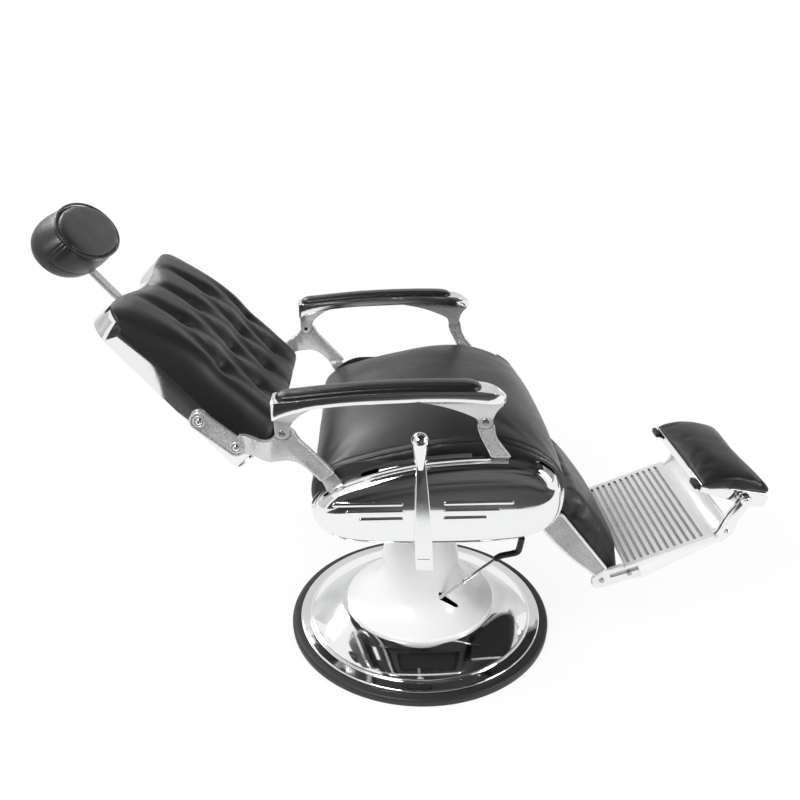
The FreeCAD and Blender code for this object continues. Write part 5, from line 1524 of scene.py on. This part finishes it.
def make_world():
    """White to the camera and in reflections, softer as a light."""
    world = bpy.data.worlds.new("studio")
    bpy.context.scene.world = world
    world.use_nodes = True
    tree = world.node_tree
    light = fed(tree, tree.nodes["Background"], {"Color": WHITE, "Strength": 0.55})
    white = fed(tree, node(tree, "ShaderNodeBackground"), {"Color": WHITE, "Strength": 1})
    mixed(tree, seen_rays(tree), light, white, "World Output")


def aimed(place, target):
    """The turn of a thing that looks from a place to a target."""
    return (Vector(target) - Vector(place)).to_track_quat("-Z", "Y")


def lamp(name, place, target, size, power):
    """A soft area lamp aimed at a point."""
    data = bpy.data.lights.new(name, "AREA")
    data.shape = "RECTANGLE"
    data.size, data.size_y = size
    data.energy = power
    thing = placed(name, data)
    thing.location = place
    thing.rotation_euler = aimed(place, target).to_euler()


def card(name, place, target, size, low, high):
    """A glowing studio card that only shows in reflections, clouded between two tones: a
    painted reflection, dark or bright, that no lamp casts.
    """
    material, tree, shader = new_material(name)
    cloud = noise(tree, object_place(tree), 0.7, 2, 0.4)
    spread = fed(tree, node(tree, "ShaderNodeMapRange"),
                 {"From Min": 0.35, "From Max": 0.65, "Value": cloud})
    tone = blend_colour(tree, spread.outputs["Result"], (low,) * 3, (high,) * 3)
    fed(tree, shader, {"Base Color": (0, 0, 0, 1), "Specular IOR Level": 0,
                       "Emission Strength": 1, "Emission Color": tone})
    bm = bmesh.new()
    turn = aimed(place, target).to_matrix().to_4x4()
    bmesh.ops.create_grid(bm, x_segments=1, y_segments=1, size=0.5,
                          matrix=Matrix.Translation(place) @ turn
                          @ Matrix.Diagonal((size[0], size[1], 1, 1)))
    thing = staged(name, bm, material)
    thing.visible_camera = False
    thing.visible_diffuse = False
    thing.visible_shadow = False
    thing.visible_transmission = False


def make_stage():
    """Floor, lamps, reflection cards and the camera."""
    bm = bmesh.new()
    bmesh.ops.create_grid(bm, x_segments=1, y_segments=1, size=12)
    staged("floor", bm, floor_finish())
    make_world()
    lamp("key", (-1.4, -1.9, 2.7), (0, 0, 0.6), (1.2, 0.7), 64)
    lamp("fill", (2.6, -1.2, 1.7), (0.1, 0, 0.5), (0.6, 1.4), 34)
    lamp("rim", (-1.9, 2.3, 2.6), (0, 0, 0.6), (1.8, 0.5), 40)
    # Glowing cards seen only in reflections give painted reflections. They are dark
    # overhead, in front and on the floor ahead, and bright behind, to the left and in a
    # strip overhead. They are half-bright to the right.
    for name, place, target, size, tones in (
            ("ceiling", (1.4, 0, 3.2), (1.4, 0, 0.3), (5.4, 8), (0.012, 0.06)),
            ("rear", (0, 3.4, 2), (0, 0, 2), (7, 2.6), (0.62, 0.82)),
            ("front", (0, -3.6, 1.5), (0, 0, 1.5), (7, 3.4), (0.03, 0.13)),
            ("floor", (1.2, -2.4, 0.02), (1.2, -2.4, -1), (4.6, 2.4), (0.04, 0.12)),
            ("top", (-0.5, 0.75, 3.18), (-0.5, 0.75, 0), (2.4, 0.8), (0.9, 1)),
            ("right", (4.2, 0.6, 2), (0, 0.6, 2), (4, 2.4), (0.2, 0.5)),
            ("left", (-4.2, 0, 1.8), (0, 0, 1.8), (6, 2.8), (0.55, 0.75))):
        card(name + "_card", place, target, size, *tones)
    data = bpy.data.cameras.new("camera")
    data.sensor_width = 36
    data.lens = 36.77
    camera = placed("camera", data)
    camera.location = (-0.1110, -1.7490, 1.3567)
    camera.rotation_euler = (math.radians(66.97), 0, math.radians(-1.94))
    bpy.context.scene.camera = camera
    bpy.context.scene.view_settings.view_transform = "Standard"


# Operators and panel

class CHAIR_OT_finishes(bpy.types.Operator):
    """Make the finishes and dress the plain inner parts"""
    bl_idname = "chair.finishes"
    bl_label = "Finishes"

    def execute(self, context):
        make_finishes()
        dress_hidden()
        return {"FINISHED"}


class CHAIR_OT_base(bpy.types.Operator):
    """Build the rubber ring, the dished cover and the enamelled bell"""
    bl_idname = "chair.base"
    bl_label = "Base"

    def execute(self, context):
        make_ring()
        make_dish()
        make_bell()
        return {"FINISHED"}


class CHAIR_OT_pedal(bpy.types.Operator):
    """Build the pump pedal"""
    bl_idname = "chair.pedal"
    bl_label = "Pedal"

    def execute(self, context):
        make_pedal()
        return {"FINISHED"}


class CHAIR_OT_covers(bpy.types.Operator):
    """Build the side covers and their bars"""
    bl_idname = "chair.covers"
    bl_label = "Side covers"

    def execute(self, context):
        make_side_covers()
        make_trims()
        return {"FINISHED"}


class CHAIR_OT_lever(bpy.types.Operator):
    """Build the recline lever"""
    bl_idname = "chair.lever"
    bl_label = "Recline lever"

    def execute(self, context):
        make_lever()
        return {"FINISHED"}


class CHAIR_OT_arms(bpy.types.Operator):
    """Build the armrests, posts and brackets"""
    bl_idname = "chair.arms"
    bl_label = "Armrests"

    def execute(self, context):
        make_armrests()
        make_posts()
        make_brackets()
        return {"FINISHED"}


class CHAIR_OT_back(bpy.types.Operator):
    """Build the back with its surround, leather, buttons and rear panel"""
    bl_idname = "chair.back"
    bl_label = "Back"

    def execute(self, context):
        make_back_surround()
        make_rear_panel()
        make_back_cushion()
        make_buttons()
        return {"FINISHED"}


class CHAIR_OT_seat(bpy.types.Operator):
    """Build the leather seat"""
    bl_idname = "chair.seat"
    bl_label = "Seat"

    def execute(self, context):
        make_seat()
        return {"FINISHED"}


class CHAIR_OT_headrest(bpy.types.Operator):
    """Build the headrest and its stem"""
    bl_idname = "chair.headrest"
    bl_label = "Headrest"

    def execute(self, context):
        make_headrest()
        make_stem()
        return {"FINISHED"}


class CHAIR_OT_legrest(bpy.types.Operator):
    """Build the legrest with its calf pad and foot plate"""
    bl_idname = "chair.legrest"
    bl_label = "Legrest"

    def execute(self, context):
        make_leg_plates()
        make_calf_pad()
        make_foot_rails()
        make_foot_plate()
        make_foot_arms()
        return {"FINISHED"}


class CHAIR_OT_foot_pad(bpy.types.Operator):
    """Build the turning foot pad"""
    bl_idname = "chair.foot_pad"
    bl_label = "Foot pad"

    def execute(self, context):
        make_tray()
        make_foot_pad()
        return {"FINISHED"}


class CHAIR_OT_stage(bpy.types.Operator):
    """Set up the floor, lamps and camera"""
    bl_idname = "chair.stage"
    bl_label = "Stage"

    def execute(self, context):
        make_stage()
        return {"FINISHED"}


OPERATORS = (CHAIR_OT_stage, CHAIR_OT_finishes, CHAIR_OT_base, CHAIR_OT_pedal,
             CHAIR_OT_covers, CHAIR_OT_lever, CHAIR_OT_arms, CHAIR_OT_back, CHAIR_OT_seat,
             CHAIR_OT_headrest, CHAIR_OT_legrest, CHAIR_OT_foot_pad)


class CHAIR_PT_panel(bpy.types.Panel):
    """The chair's pieces and settings"""
    bl_idname = "CHAIR_PT_panel"
    bl_label = "Barber chair"
    bl_space_type = "VIEW_3D"
    bl_region_type = "UI"
    bl_category = "Chair"

    def draw(self, context):
        layout = self.layout
        for group in (context.scene.chair_sizes, context.scene.chair_colours):
            for name in group.__annotations__:
                layout.prop(group, name)
        for operator in OPERATORS:
            layout.operator(operator.bl_idname)


CLASSES = (ChairSizes, ChairColours) + OPERATORS + (CHAIR_PT_panel,)


def register():
    """Adds the classes and the scene's settings."""
    for item in CLASSES:
        bpy.utils.register_class(item)
    bpy.types.Scene.chair_sizes = bpy.props.PointerProperty(type=ChairSizes)
    bpy.types.Scene.chair_colours = bpy.props.PointerProperty(type=ChairColours)


def unregister():
    """Takes them away again."""
    del bpy.types.Scene.chair_colours
    del bpy.types.Scene.chair_sizes
    for item in reversed(CLASSES):
        bpy.utils.unregister_class(item)


def main():
    """Builds every piece."""
    register()
    for operator in OPERATORS:
        group, name = operator.bl_idname.split(".")
        getattr(getattr(bpy.ops, group), name)()


if __name__ == "__main__":
    main()
